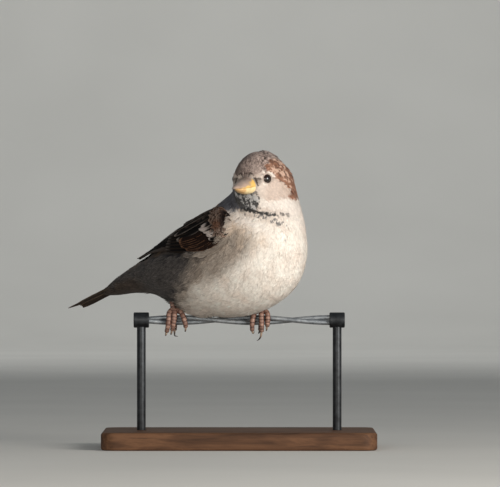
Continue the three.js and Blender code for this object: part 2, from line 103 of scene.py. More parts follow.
def waves(points, size, seed, count=9):
    """Smooth pseudo-noise of about unit spread: a sum of sines across the points, in random
    directions, each about one size long."""
    draw = np.random.default_rng(seed)
    push = unit(draw.normal(size=(count, points.shape[-1])))
    push = push * (2 * np.pi / (size * draw.uniform(0.7, 1.5, (count, 1))))
    phase = draw.uniform(0, 2 * np.pi, count)
    return np.sin(points @ push.T + phase).sum(-1) / np.sqrt(count / 2)


# %% Helpers for meshes
def placed(name, data):
    """A new object of the scene."""
    made = bpy.data.objects.new(name, data)
    bpy.context.scene.collection.objects.link(made)
    return made


def add_piece(name, points, faces, material, slot, replaces=(), colours=None, uvs=None,
              normals=None):
    """A joined mesh from arrays: points in millimetres, faces as a list of index arrays of
    three or four columns, a colour for each point, UV maps given point by point, and the
    directions that the points are shaded by where these aren't the mesh's own."""
    mesh = bpy.data.meshes.new(name)
    mesh.vertices.add(len(points))
    mesh.vertices.foreach_set("co", (np.asarray(points, float) * MM).astype(np.float32).ravel())
    sizes = np.concatenate([np.full(len(f), f.shape[1]) for f in faces])
    corners = np.concatenate([f.ravel() for f in faces]).astype(np.int32)
    starts = np.concatenate([[0], np.cumsum(sizes)[:-1]]).astype(np.int32)
    mesh.loops.add(len(corners))
    mesh.loops.foreach_set("vertex_index", corners)
    mesh.polygons.add(len(sizes))
    mesh.polygons.foreach_set("loop_start", starts)
    mesh.polygons.foreach_set("use_smooth", np.ones(len(sizes), bool))
    mesh.update(calc_edges=True)
    if colours is not None:
        layer = mesh.color_attributes.new("feather", "FLOAT_COLOR", "POINT")
        rgba = np.concatenate([colours, np.ones((len(colours), 1))], axis=1)
        layer.data.foreach_set("color", rgba.astype(np.float32).ravel())
    for label, uv in (uvs or {}).items():
        layer = mesh.uv_layers.new(name=label)
        layer.data.foreach_set("uv", uv[corners].astype(np.float32).ravel())
    mesh.validate()
    if normals is not None:
        mesh.normals_split_custom_set_from_vertices(np.asarray(normals, np.float32))
    piece = placed(name, mesh)
    mesh.materials.append(material)
    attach(piece, "root")
    if replaces:
        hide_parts(*replaces)
    triangles = int((sizes - 2).sum())
    print(f"{name}: {len(points)} points, {triangles} triangles")


def grid_faces(rows, columns, wrap=False):
    """Four-sided faces over a grid of rows by columns, closed round if wrap."""
    i, j = np.meshgrid(np.arange(rows - 1), np.arange(columns if wrap else columns - 1),
                       indexing="ij")
    k = (j + 1) % columns
    return vectors(i * columns + j, i * columns + k,
                   (i + 1) * columns + k, (i + 1) * columns + j).reshape(-1, 4)


def closed_points(rings, start, end):
    """Points (or colours) of a closed loft: a start pole, the rings in order, an end pole."""
    return np.concatenate([[start], np.reshape(rings, (-1, 3)), [end]])


def closed_faces(rows, columns, flip=False):
    """Faces over closed_points, for rows by columns between the poles. flip turns every face
    over, for rings that run round the other way."""
    quads = 1 + grid_faces(rows, columns, wrap=True)
    j = np.arange(columns)
    k = (j + 1) % columns
    end = 1 + rows * columns
    first, last = vectors(0, 1 + k, 1 + j), vectors(end, end - columns + j, end - columns + k)
    faces = [quads, np.concatenate([first, last])]
    return [f[:, ::-1] for f in faces] if flip else faces


# %% [markdown]
# ## Material recipes
# Every finish on this model is a tree of nodes. One short function sets them up: it makes a
# material, and `node` adds a node with its inputs. Most pieces are painted: they take their
# colour from an attribute worked out point by point, and fine noise breaks it up, as barbs,
# scales or flakes of horn do. The noise reads the place on the object, so it never slides.

# %% Node helpers
def node(material, kind, inputs=None, **settings):
    """One shader node; inputs maps a socket's name or number to a value or another socket."""
    made = material.node_tree.nodes.new("ShaderNode" + kind)
    for key, value in settings.items():
        setattr(made, key, value)
    for key, value in (inputs or {}).items():
        if isinstance(value, bpy.types.NodeSocket):
            material.node_tree.links.new(value, made.inputs[key])
        else:
            made.inputs[key].default_value = value
    return made


def new_material(name):
    """An empty node material and its output node."""
    material = bpy.data.materials.new(name)
    material.use_nodes = True
    material.node_tree.nodes.clear()
    return material, node(material, "OutputMaterial")


def finish_with(material, output, inputs):
    """Principled surface with the given inputs, joined to the material's output."""
    shader = node(material, "BsdfPrincipled", inputs)
    material.node_tree.links.new(shader.outputs[0], output.inputs["Surface"])
    return material


def rgba(text):
    """Four linear numbers for a colour socket."""
    return (*tint(text), 1.0)


def ramp(material, factor, *stops):
    """Colour ramp node: stops are (place, hex colour)."""
    made = node(material, "ValToRGB", {"Fac": factor})
    spots = made.color_ramp.elements
    while len(spots) < len(stops):
        spots.new(0.5)
    for spot, (place, colour) in zip(spots, stops):
        spot.position = place
        spot.color = rgba(colour)
    return made.outputs["Color"]


def noise_over(material, scale, detail=2.0, squeeze=(1.0, 1.0, 1.0), **more):
    """Noise over the object's own coordinates, which squeeze stretches along each axis."""
    place = node(material, "TexCoord").outputs["Object"]
    place = node(material, "Mapping", {"Vector": place, "Scale": squeeze}).outputs[0]
    inputs = {"Vector": place, "Scale": scale, "Detail": detail, **more}
    return node(material, "TexNoise", inputs).outputs["Fac"]


def mapped(material, value, low, high, span=(0.0, 1.0)):
    """A value carried straight from the two ends of span to low and high."""
    return node(material, "MapRange", {"Value": value, "From Min": span[0], "From Max": span[1],
                                       "To Min": low, "To Max": high}).outputs[0]


def toned(material, colour, level):
    """A colour made lighter or darker by a level around one."""
    return node(material, "HueSaturation", {"Color": colour, "Value": level}).outputs[0]


def bumped(material, height, strength, distance):
    """Shading normal raised by a height, at most a distance in metres."""
    return node(material, "Bump", {"Height": height, "Strength": strength,
                                   "Distance": distance}).outputs[0]


def painted(material):
    """The colour that was worked out for each point of a piece."""
    return node(material, "Attribute", attribute_name="feather").outputs["Color"]


MIDDLE = (0.3, 0.7)              # most values of a noise lie between these two


def painted_finish(name, noise, tones, surface, span=(0.0, 1.0), bump=None, bump_noise=None):
    """Finish of a painted piece: the point colour, toned by noise (scale, detail), and a bump
    (strength, distance) by the same noise or by another one."""
    material, output = new_material(name)
    height = noise_over(material, *noise)
    shade = toned(material, painted(material), mapped(material, height, *tones, span))
    if bump_noise:
        height = noise_over(material, *bump_noise)
    normal = {"Normal": bumped(material, height, *bump)} if bump else {}
    return finish_with(material, output, {"Base Color": shade, **normal, **surface})


def soft_finish(name, streak, roughness=0.85, sheen=0.0):
    """Down and small feathers: nearly without gloss, toned by streak either way."""
    return painted_finish(name, (900.0, 2.0), (1 - streak, 1 + streak),
                          {"Roughness": roughness, "Sheen Weight": sheen,
                           "Sheen Roughness": 0.5, "Specular IOR Level": 0.08},
                          MIDDLE, (0.25, 0.0002))


coat_finish = soft_finish("soft_feather", 0.06, roughness=0.9, sheen=0.08)
skin_finish = soft_finish("down_on_skin", 0.15, sheen=0.08)

# %% [markdown]
# ## The bird's own frames
# A perched bird twists: the trunk points one way and the head another. The body is described
# straight, as rings from the bill to the tail, in a frame of the bird's own (F forward, L to
# its left, U up). The rings of the head are then turned about an upright axis in the neck. A
# loft through rings is chosen because every feather can later be placed by two numbers, how
# far along the body and how far round it.

# %% Body rings and frames
PERCH_HEIGHT = 58.0              # wire centre above the stand's underside
PERCH_X = -11.0                  # middle of the grip along the wire
YAW = np.radians(38)             # the trunk heads this far away from the wire
HEAD_TURN = np.radians(-82)      # the head is turned this far from the trunk
HEAD_AXIS_F = 29.0               # upright neck axis in the straight bird
NECK_AXIS = (27.8, -1.0)         # where that axis stands in the turned bird
TURNED_TO, STRAIGHT_FROM = 3.6, 6.3   # rings between which the turn fades out

# ring: back F, U; belly F, U; half width; how far down the widest level lies
RINGS = np.array([
    [44.3, 66.0, 43.2, 57.4, 5.0, 0.5],      # bill root
    [43.0, 69.6, 42.8, 55.6, 6.8, 0.5],      # lores
    [39.8, 73.8, 42.6, 53.4, 8.2, 0.5],      # eye
    [31.0, 76.6, 43.0, 51.0, 10.2, 0.5],     # crown
    [15.2, 70.6, 44.2, 48.2, 13.6, 0.5],     # nape
    [9.5, 59.2, 45.8, 44.4, 17.4, 0.5],      # neck
    [4.5, 51.7, 47.2, 38.0, 21.4, 0.46],     # shoulder
    [-3.5, 47.6, 47.6, 28.5, 24.2, 0.44],    # breast
    [-12.0, 44.1, 44.0, 17.0, 25.5, 0.42],   # trunk
    [-20.0, 40.1, 34.5, 8.2, 25.1, 0.42],    # belly
    [-27.5, 35.6, 18.5, 2.1, 23.3, 0.42],    # flank
    [-34.0, 31.2, 0.0, 1.5, 19.5, 0.42],     # vent
    [-39.5, 28.2, -18.0, 6.8, 15.0, 0.45],   # rump
    [-44.5, 25.2, -33.0, 11.2, 11.0, 0.45],  # undertail
    [-50.0, 22.3, -46.0, 12.0, 8.5, 0.45],   # tail coverts
    [-56.0, 18.8, -56.0, 11.0, 6.6, 0.45],
    [-61.5, 15.2, -62.5, 10.8, 4.0, 0.5],
])
LAST_RING = len(RINGS) - 1


def from_trunk(flu):
    """Trunk frame to the scene: a turn about the upright axis and a shift to the perch."""
    f, l, u = np.moveaxis(np.asarray(flu, float), -1, 0)
    return vectors(f * np.cos(YAW) + l * np.sin(YAW) + PERCH_X,
                   -f * np.sin(YAW) + l * np.cos(YAW), u + PERCH_HEIGHT)


def from_head(flu):
    """Turned head's frame (f ahead of the neck axis, l to its left, U up) to the scene."""
    f, l, u = np.moveaxis(np.asarray(flu, float), -1, 0)
    c, s = np.cos(HEAD_TURN), np.sin(HEAD_TURN)
    return from_trunk(vectors(NECK_AXIS[0] + c * f - s * l, NECK_AXIS[1] + s * f + c * l, u))


def direction(from_frame, flu):
    """Direction in one of those frames to the scene: a point's place less the origin's."""
    return from_frame(flu) - from_frame(np.zeros(3))


def straight_body(ring, turn):
    """Point (F, L, U) of the bird looking straight ahead, at a ring number and an angle
    round the ring, 0 on the back and positive to the left: half an ellipse above the widest
    level and half of another below it."""
    back_f, back_u, belly_f, belly_u, half, level = np.moveaxis(
        along_rows(RINGS, ring / LAST_RING), -1, 0)
    mid_f = back_f + (belly_f - back_f) * level
    mid_u = back_u + (belly_u - back_u) * level
    up = np.cos(turn)
    f = mid_f + np.where(up > 0, (back_f - mid_f) * up, (mid_f - belly_f) * up)
    u = mid_u + np.where(up > 0, (back_u - mid_u) * up, (mid_u - belly_u) * up)
    return vectors(f, half * np.sin(turn), u)


def body_point(ring, turn):
    """The same point with the head turned, in the scene: the ring's share of the turn fades
    from 1 in the head to 0 below the neck."""
    f, l, u = np.moveaxis(straight_body(ring, turn), -1, 0)
    share = 1 - smooth(ring, TURNED_TO, STRAIGHT_FROM)
    angle = HEAD_TURN * share
    f = f - HEAD_AXIS_F
    turned_f = HEAD_AXIS_F + (NECK_AXIS[0] - HEAD_AXIS_F) * share
    turned_f = turned_f + np.cos(angle) * f - np.sin(angle) * l
    turned_l = NECK_AXIS[1] * share + np.sin(angle) * f + np.cos(angle) * l
    return from_trunk(vectors(turned_f, turned_l, u))


def body_slopes(ring, turn, step=0.004):
    """Change of the body point per ring number and per radian, and the outward normal: the
    differences of two near points each way, and their cross product."""
    low, high = np.clip(ring - step, 0, LAST_RING), np.clip(ring + step, 0, LAST_RING)
    along = (body_point(high, turn) - body_point(low, turn)) / (high - low)[..., None]
    around = (body_point(ring, turn + step) - body_point(ring, turn - step)) / (2 * step)
    return along, around, unit(np.cross(around, along))


check = body_point(np.array([0.0, 8.0]), np.array([0.0, 0.0]))
print("back of the bill root and of the trunk, mm:", check.round(1).tolist())

# %% [markdown]
# ## The markings
# A cock sparrow in fresh autumn feather has a grey-brown crown, a chestnut band from the eye
# round the nape, a pale pinkish cheek, and a black bib that pale fringes still veil. Below
# that it is cream, shading to brown-grey on the flanks. The markings are worked out once, as
# smooth patches in the frame of the bird looking straight ahead, and both the skin and the
# coat ask the same function. That way they can never disagree, from any side.
# Some of the dark is painted shade: flanks, vent and the bird's right side of head, neck and bib are
# painted darker than the bird's own colour, as if turned away from the light.

# %% Colours of the plumage
CREAM, PINK_CREAM, WARM_CREAM = tint("f2ebe1"), tint("e2d3c6"), tint("dcc5ae")
# Flank and vent colours are the bird's grey-brown darkened to near black: painted shade.
FLANK_AND_SHADE, FLANK_DARK_AND_SHADE = tint("2c2a2d"), tint("1e1c1e")
VENT_AND_SHADE, VENT_DARK_AND_SHADE = tint("4d433c"), tint("342c27")
CROWN, CROWN_DARK, CROWN_PALE = tint("8f7d75"), tint("4a3e39"), tint("bba99f")
CHESTNUT, CHESTNUT_DEEP, CHESTNUT_VEIL = tint("875d48"), tint("5f3d2f"), tint("cbab97")
CHEEK, CHEEK_PALE, CHEEK_REAR = tint("c9b6a9"), tint("e2d6cb"), tint("bda595")
NECK_WHITE = tint("e8dfd6")
LORE, LORE_DARK, BROW, SPOT = tint("92857c"), tint("3f3530"), tint("c9b9ad"), tint("e6dbd1")
BIB, BIB_FRINGE = tint("171515"), tint("c4c2c1")
MANTLE, MANTLE_DARK = tint("84694f"), tint("2a211c")
RUMP, RUMP_DARK = tint("5e5550"), tint("433b37")
RIGHT_NECK_SHADE, RIGHT_NECK_SHADE_DARK = tint("707076"), tint("404046")
WING_EDGE_TONE_AND_SHADE = tint("78685a")


# %% Patches
def mirrored(flu):
    """The same places with those on the right side moved over to the left."""
    return vectors(flu[..., 0], np.abs(flu[..., 1]), flu[..., 2])


def near(flu, f, l, u, radius):
    """1 at a point (mirrored on both sides), falling smoothly to 0 at a radius."""
    away = np.linalg.norm(mirrored(flu) - (f, l, u), axis=-1)
    return 1 - smooth(away, 0.45 * radius, radius)


def stroke(flu, line, radius):
    """1 along a line of (F, side, U) points, mirrored on both sides, falling smoothly to 0
    at a radius: the distance counts to the nearest of the line's segments."""
    here = mirrored(flu)
    best = np.full(here.shape[:-1], np.inf)
    for a, b in zip(line[:-1], line[1:]):
        way = np.subtract(b, a)
        t = np.clip((here - a) @ way / (way @ way), 0, 1)
        best = np.minimum(best, np.linalg.norm(here - a - t[..., None] * way, axis=-1))
    return 1 - smooth(best, 0.5 * radius, radius)


# Lines the markings follow, as (F, side, U) in millimetres in the straight bird.
WING_EDGE = ((25.0, 22.0, 41.0), (15.5, 26.0, 32.5), (4.0, 26.5, 30.5), (-10.0, 23.5, 30.5))
BAND_START = ((37.3, 8.0, 70.2), (38.5, 8.6, 67.9))
BAND_TOP = ((36.2, 8.0, 70.9), (32.3, 8.3, 71.4), (30.3, 9.2, 70.0), (27.5, 9.9, 69.2))
BAND_LOW = ((35.4, 10.6, 65.0), (31.5, 11.5, 64.6), (29.0, 12.5, 62.8), (27.2, 13.6, 60.9))
BAND_REAR = ((23.5, 10.4, 67.7), (21.8, 11.4, 65.9), (24.0, 12.8, 62.5), (25.8, 14.5, 59.1),
             (28.8, 15.1, 56.6), (31.4, 14.7, 55.3))
WHITE_REAR = ((38.1, 9.2, 66.7), (36.9, 9.8, 66.3), (35.9, 10.4, 65.1))
WHITE_BELOW = ((41.4, 8.1, 61.7), (40.1, 8.9, 61.0), (39.0, 9.5, 61.3), (37.6, 10.1, 62.2))
BILL_SEAM = ((44.0, 3.2, 66.2), (43.9, 4.6, 64.5), (43.5, 5.6, 62.6), (43.1, 6.1, 60.8))
LORE_LINE = ((43.9, 4.6, 64.2), (43.2, 6.2, 64.0), (42.2, 7.2, 63.6))
BROW_LINE = ((44.2, 2.8, 65.6), (43.9, 4.5, 65.0), (43.1, 6.1, 65.4), (42.0, 7.1, 66.4))
BIB_SIDE = ((42.1, 5.5, 52.4), (42.2, 5.4, 51.6), (42.6, 5.0, 50.2))
BIB_LEVELS = (49.0, 50.5, 51.8, 53.2, 55.0, 56.8)        # U, and the half widths there
BIB_LEFT, BIB_RIGHT = (4.6, 5.5, 5.9, 6.0, 5.5, 4.9), (1.2, 2.5, 4.2, 5.9, 7.2, 8.0)
NECKLACE = ((43.3, 0.6, 50.1), (43.5, 2.2, 49.5), (43.4, 3.6, 49.2))
NECKLACE_SIDE = ((43.4, 3.4, 49.2), (43.5, 4.3, 48.5), (43.6, 5.2, 47.9), (43.6, 6.2, 47.5))
NECKLACE_END = ((43.6, 6.2, 47.5), (42.6, 8.4, 47.2), (41.7, 9.6, 47.6))
SPECKS = (45.2, 1.6, 45.4)
CHEEK_FOOT = ((42.0, 6.8, 53.5), (40.5, 8.9, 51.6), (37.5, 11.8, 51.8), (34.5, 14.0, 53.2))


# %% Markings
def off_back(turn):
    """Angle from the middle of the back, 0 to pi, the same on both sides."""
    return np.abs(np.angle(np.exp(1j * turn)))


def markings(ring, turn, chance):
    """Centre colour and fringe colour of the plumage at each place. chance is a number from
    0 to 1 for each place, which decides how mottled patches fall."""
    flu = straight_body(ring, turn)
    f, left, u = np.moveaxis(flu, -1, 0)
    side, angle = np.abs(left), off_back(turn)
    drift, fine = waves(flu, 7.0, 11), waves(flu, 2.6, 12)
    lengthwise = vectors(1.6 * ring, 22 * np.sin(turn), 22 * np.cos(turn))
    strand = waves(lengthwise, 2.4, 16) + 0.8 * waves(lengthwise, 5.5, 17)

    def paint(share, centre, fringe=None):
        """Blends the pair towards two other colours by a share, or towards one."""
        nonlocal pair
        fringe = centre if fringe is None else fringe
        pair = mix(pair[0], centre, share), mix(pair[1], fringe, share)

    # Underside: cream breast and belly, browner towards the flank, the vent and the rear. There the
    # colour is painted far darker than the bird's own grey-brown: painted shade.
    below = smooth(angle + 0.06 * drift, 1.50, 2.45)
    slant = np.interp(u, (0, 7, 18, 35, 48), (-8, 0, 18, 34, 20))
    rear = smooth(slant - 1 - f + 1.2 * drift + 0.9 * strand + 1.5 * (chance - 0.5), 0, 22)
    shade = np.clip(0.05 * (1 - below) * smooth(41 - f, 0, 15) + 0.97 * rear, 0, 1)
    warm = np.clip(0.35 + 0.25 * drift + 0.45 * smooth(u, 38, 46), 0, 1)
    base = mix(CREAM, PINK_CREAM, warm) * (1 - 0.09 * smooth(strand, 0.2, 2.2))[..., None]
    middle = mix(base, WARM_CREAM, 0.7 * smooth(shade, 0.05, 0.5))
    pair = mix(middle, FLANK_AND_SHADE, shade), mix(mix(CREAM, middle, 0.6), FLANK_AND_SHADE, 0.85 * shade)
    # Breast side along the wing's edge: grey-brown of its own, and painted shade where the wing
    # overhangs it.
    paint(0.8 * stroke(flu, WING_EDGE, 19.0) * (1 - rear), WING_EDGE_TONE_AND_SHADE)
    streaky = smooth(strand + 0.4 * fine, 0.2, 2.2) * smooth(shade, 0.15, 0.8)
    paint(0.4 * streaky, FLANK_DARK_AND_SHADE)
    buff = near(flu, 36.0, 18.0, 42.5, 13.0) * (0.45 + 0.3 * drift)
    paint(np.clip(buff, 0, 0.8), WARM_CREAM)
    vent = smooth(ring, 11.6, 13.4) * smooth(angle, 1.3, 1.9)
    paint(vent, mix(VENT_DARK_AND_SHADE, VENT_AND_SHADE, chance > 0.35), VENT_AND_SHADE)

    # Upper parts: streaked mantle, plain rump.
    reach = np.interp(ring, (7.0, 9.0, 16.0), (1.40, 1.05, 0.95))
    above = 1 - smooth(angle - reach + 0.03 * drift, -0.25, 0.0)
    streak = smooth(np.sin(left * 1.55 + 0.5 * drift), -0.1, 0.45)
    paint(above * smooth(ring, 4.6, 5.6), mix(MANTLE, MANTLE_DARK, streak),
          mix(MANTLE, MANTLE_DARK, 0.55 * streak))
    paint(above * smooth(ring, 9.6, 10.8), RUMP_DARK, RUMP)

    # Head: cheek first, then the patches that lie over it.
    head = 1 - smooth(ring + 0.05 * drift, 4.55, 5.1)
    cheek = mix(CHEEK, CHEEK_PALE, smooth(f, 38.5, 43.0) * 0.75)
    cheek = mix(cheek, CHEEK_REAR, smooth(34.5 - f, 0, 4) * 0.7)
    paint(head, cheek, mix(cheek, CHEEK_PALE, 0.3))
    paint(np.clip(stroke(flu, CHEEK_FOOT, 2.6) * 0.9, 0, 1), NECK_WHITE)
    collar = smooth(ring, 4.1, 4.6) * (1 - smooth(ring, 5.4, 6.6)) * smooth(angle, 1.35, 1.7)
    paint(collar * smooth(side, 7, 12) * 0.85, NECK_WHITE)
    nape = smooth(1.50 - angle, 0, 0.2) * smooth(ring, 3.4, 4.2) * (1 - smooth(ring, 5.2, 6.2))
    grain = chance + 0.16 * waves(flu * [0.5, 1.6, 1.0], 2.2, 13)
    mottle = mix(mix(CROWN_DARK, CROWN, smooth(grain, 0.15, 0.5)), CROWN_PALE,
                 smooth(grain, 0.6, 0.95))
    paint(nape, mottle * 0.85, CROWN)

    cap = smooth(u + 0.2 * fine, 65.0, 66.0) * head
    pale = 0.5 * smooth(f, 40.0, 43.5)
    paint(cap, mottle, mix(mix(CROWN, mottle, 0.5), CROWN_PALE, 0.2))
    paint(cap * pale * smooth(side, 1.0, 4.0), CROWN_PALE)
    # Painted shade: the crown is darker on the bird's right side, the side away from the light.
    paint(0.70 * cap * smooth(-left, 0.5, 5.0), CROWN_DARK)
    lower = np.interp(f, (26.0, 28.0, 29.2, 31.5, 35.5, 39.0), (54.2, 54.5, 60.0, 63.0, 63.8, 66.6))
    band = smooth(side + 0.3 * fine, 6.9, 7.9) * smooth(u - lower + 0.3 * fine, -0.4, 0.5)
    band = band * smooth(39.3 - f, 0, 0.8) * (1 - smooth(ring, 4.5, 4.9))
    firm = np.maximum.reduce([
        stroke(flu, BAND_START, 2.1), stroke(flu, BAND_TOP, 1.7), stroke(flu, BAND_LOW, 1.7),
        stroke(flu, BAND_REAR, 2.4), 0.9 * smooth(25.0 - f, 0, 3)])
    band = np.maximum(band, stroke(flu, BAND_REAR, 1.9))
    rufous = smooth(chance + 0.25 * fine + 0.74 * firm, 0.48, 0.78)
    chestnut = mix(CHESTNUT, CHESTNUT_DEEP, smooth(fine + 2 * (chance - 0.5), 0.1, 1.0))
    paint(band, mix(CHESTNUT_VEIL, chestnut, rufous), mix(CHESTNUT_VEIL, chestnut, 0.8 * rufous))

    # Face marks: lores, nostril, seams by the bill, brow and the pale spots by the eye.
    lores = near(flu, 43.0, 6.2, 63.0, 2.6) * smooth(f, 41.3, 42.0)
    for share, colour in (
            (0.8 * lores, LORE), (0.8 * stroke(flu, BILL_SEAM, 0.65), LORE_DARK),
            (0.9 * near(flu, 44.3, 2.6, 66.2, 1.3), LORE_DARK),
            (0.6 * stroke(flu, LORE_LINE, 0.6), LORE_DARK), (stroke(flu, BROW_LINE, 0.7), BROW),
            (0.9 * near(flu, 40.7, 7.8, 67.2, 1.1), SPOT), (near(flu, 41.6, 7.7, 65.4, 0.6), SPOT),
            (stroke(flu, WHITE_REAR, 0.95), SPOT), (0.7 * stroke(flu, WHITE_BELOW, 0.6), SPOT),
            (0.7 * near(flu, 36.7, 10.4, 63.6, 1.0), LORE_DARK)):
        paint(share, colour)

    # Painted shade: on the bird's right side the cheek and neck, from the bib's foot up to below the
    # eye, are painted dark slate grey, as in the head's shadow.
    ragged = 0.5 * fine + 1.4 * (chance - 0.5)
    drawn = smooth(-left, 0.5, 2.0) * smooth(u + 0.5 * ragged, 49.4, 50.6) * smooth(ring, 0.7, 1.3)
    drawn = drawn * (1 - smooth(u, 58.5, 61.0)) * (1 - smooth(ring, 5.6, 6.2))
    paint(drawn, mix(RIGHT_NECK_SHADE_DARK, RIGHT_NECK_SHADE, chance), RIGHT_NECK_SHADE)

    # Bib: black veiled with grey, a black necklace at its foot, loose specks below.
    throat = smooth(f, 38.0, 40.0) * (1 - smooth(u, 57.4, 58.4))
    reach = np.where(left > 0, np.interp(u, BIB_LEVELS, BIB_LEFT),
                     np.interp(u, BIB_LEVELS, BIB_RIGHT)) + 0.8 * ragged
    bib = throat * (1 - smooth(side, reach - 0.5, reach + 0.5)) * smooth(u + 0.4 * ragged, 49.2, 50.2)
    # The bib is painted blacker on the bird's right half, the side away from the light: painted
    # shade.
    dark = np.maximum.reduce([stroke(flu, BIB_SIDE, 1.7), 0.9 * (1 - smooth(left, -1.0, 0.6)),
                              smooth(u, 55.8, 56.8), np.full_like(u, 0.12)])
    grey = mix(BIB_FRINGE, BIB, smooth(dark + 0.8 * ragged, 0.25, 0.7))
    paint(bib, grey, mix(grey, BIB_FRINGE, 0.3))
    thick = stroke(flu, NECKLACE, 1.5 + 0.3 * ragged) * smooth(left, -2.0, -0.8)
    thin = stroke(flu, NECKLACE_SIDE, 1.6 + 0.3 * ragged) * smooth(left, 1.0, 2.0)
    end = 0.7 * stroke(flu, NECKLACE_END, 1.8) * (chance > 0.6)
    black = throat * np.maximum.reduce([thick, thin, end])
    paint(np.clip(black, 0, 1), BIB, mix(BIB, BIB_FRINGE, 0.15))
    field = 1 - smooth(np.linalg.norm(flu - SPECKS, axis=-1), 1.5, 7.0)
    field = np.maximum(field, 0.5 * smooth(u, 41.0, 45.5) * (1 - smooth(u, 48.5, 50.0))
                       * (1 - smooth(side, 8.0, 15.0)))
    specks = smooth(f, 38.0, 40.0) * smooth(field + chance, 1.40, 1.55)
    paint(0.9 * specks, mix(BIB, BIB_FRINGE, 0.15), mix(BIB, BIB_FRINGE, 0.45))
    return pair


# %% [markdown]
# ## One skin
# Under the feathers a sparrow is one smooth body from bill to tail, with no line where neck
# meets trunk. The solids are cut there, so one closed skin takes their place. It follows the
# same rings, drawn inwards along the normal by the depth of the coat: half a millimetre at
# the face and a little over one and a half on the belly. Sinking a copy of the surface is
# safer than shrinking the mesh, since the depth can differ from place to place.

# %% Coat depth and skin
COAT_RINGS = [0, 1, 2, 3, 4, 5, 6, 7, 9, 11, 13, 15, 16]
COAT_DEPTH = [0.4, 0.5, 0.6, 0.8, 1.1, 1.4, 1.5, 1.6, 1.7, 1.6, 1.3, 1.1, 0.9]


def coat_depth(ring):
    """Depth of the coat at a ring number, in millimetres."""
    return np.interp(ring, COAT_RINGS, COAT_DEPTH)


def skin_point(ring, turn):
    """Body point sunk along the normal by the coat's depth."""
    normal = body_slopes(ring, turn)[2]
    return body_point(ring, turn) - normal * coat_depth(ring)[..., None]


def unwrap(ring, turn, first, last):
    """The skin's own unwrap: across for the angle round it, up for the way along it, over
    the stretch of rings from first to last."""
    return vectors(0.02 + 0.96 * (turn / (2 * np.pi) + 0.5),
                   0.02 + 0.96 * (ring - first) / (last - first))


SKIN_ROWS, SKIN_COLUMNS = 220, 140
skin_ring, skin_turn = np.meshgrid(
    np.linspace(0.02, LAST_RING - 0.02, SKIN_ROWS),
    np.linspace(-np.pi, np.pi, SKIN_COLUMNS, endpoint=False), indexing="ij")
skin_grid = skin_point(skin_ring, skin_turn)
centre, fringe = markings(skin_ring, skin_turn, rng.uniform(size=skin_ring.shape))
skin_colour = 0.85 * mix(centre, fringe, 0.6)
add_piece("skin", closed_points(skin_grid, skin_grid[0].mean(axis=0), skin_grid[-1].mean(axis=0)),
          closed_faces(SKIN_ROWS, SKIN_COLUMNS, flip=True), skin_finish, "plumage_body",
          replaces=("head", "neck", "trunk"),
          colours=closed_points(skin_colour, skin_colour[0, 0], skin_colour[-1, -1]))

# %% [markdown]
# ## The wing as a chart
# The folded wing is needed twice: to place its own feathers, and to tell the coat where it
# lies, so that no small feather grows under it and those at its front edge stand over it. It
# is a chart of two numbers, a from wrist to tip and b from the lower to the upper edge.

# %% Wing chart
# low edge F, L, U; high edge F, L, U; crown of the feathers over that chord
WING = np.array([
    [26.4, -23.4, 42.0, 24.2, -19.8, 46.6, 0.8], [24.4, -26.0, 37.4, 15.5, -15.7, 50.8, 2.7],
    [15.5, -27.2, 32.8, 6.5, -11.0, 50.2, 3.8], [4.0, -26.6, 31.3, -3.0, -8.0, 46.7, 3.9],
    [-8.0, -23.6, 31.1, -14.0, -5.6, 42.8, 2.9], [-20.0, -19.2, 30.6, -24.5, -4.5, 37.6, 1.3],
    [-31.0, -13.2, 29.6, -33.0, -4.2, 32.0, 0.4], [-39.8, -7.8, 27.7, -40.6, -5.4, 28.5, 0.1]])
SIDES = {"right": 1, "left": -1}     # the table is of the right wing, and -1 mirrors it


def wing_frame(a, b, side):
    """Point on the wing's crowned face, the outward normal and the way towards the upper
    edge, at a from wrist to tip and b from lower to upper edge: the chord between the edges,
    bowed out by four times the crown times b times one less b."""
    row, ahead, behind = (along_rows(WING, a + step) for step in (0, 0.004, -0.004))
    chord = row[..., 3:6] - row[..., :3]
    lengthwise = ahead[..., :3] + ahead[..., 3:6] - behind[..., :3] - behind[..., 3:6]
    normal = unit(np.cross(chord, lengthwise))
    normal = normal * np.where(normal[..., 1:2] > 0, -1, 1)
    crown = row[..., 6]
    point = row[..., :3] + chord * b[..., None] + normal * (4 * crown * b * (1 - b))[..., None]
    slope = (4 * crown * (1 - 2 * b) / np.linalg.norm(chord, axis=-1))[..., None]
    up = unit(unit(chord) + slope * normal)
    out = unit(normal - slope * unit(chord))
    flip = (1, side, 1)
    return (from_trunk(point * flip), direction(from_trunk, out * flip),
            direction(from_trunk, up * flip))


def distance_to(points, others):
    """Distance from each point to the nearest of some others: the square root of the least
    of squared lengths less twice the dot product."""
    square = ((points ** 2).sum(-1)[:, None] + (others ** 2).sum(-1)[None]
              - 2 * points @ others.T)
    return np.sqrt(np.maximum(square.min(axis=1), 0))


chart_a, chart_b = np.meshgrid(np.linspace(0.03, 0.97, 60), np.linspace(0.07, 0.90, 18),
                               indexing="ij")
under_wing = np.concatenate([wing_frame(chart_a, chart_b, side)[0].reshape(-1, 3)
                             for side in SIDES.values()])
edge_a = np.linspace(0.0, 0.30, 40)
front_edge = np.concatenate([wing_frame(edge_a, 0 * edge_a, side)[0] for side in SIDES.values()])
print("wing chart points:", len(under_wing), "front edge points:", len(front_edge))

# %% [markdown]
# ## How a small feather is made
# A body feather is a soft vane whose barbs come apart towards the tip. Each one here is a fan
# of narrow blades from one root: the blades lie side by side at the root, splay a little, and
# end at different lengths. The whole fan follows the body under it, rising from the skin at
# its root to the coat's surface at its tip, so feathers overlap as shingles do. Blades are
# only five triangles each, because there are a great many of them.

# %% Roots of the feathers
EVEN_STEPS = np.array([0.7548776662, 0.5698402910])   # their multiples fill a square evenly


def even_pairs(index):
    """Low-discrepancy pairs between 0 and 1: multiples of the two steps, less whole parts."""
    return (index * EVEN_STEPS[:, None]) % 1


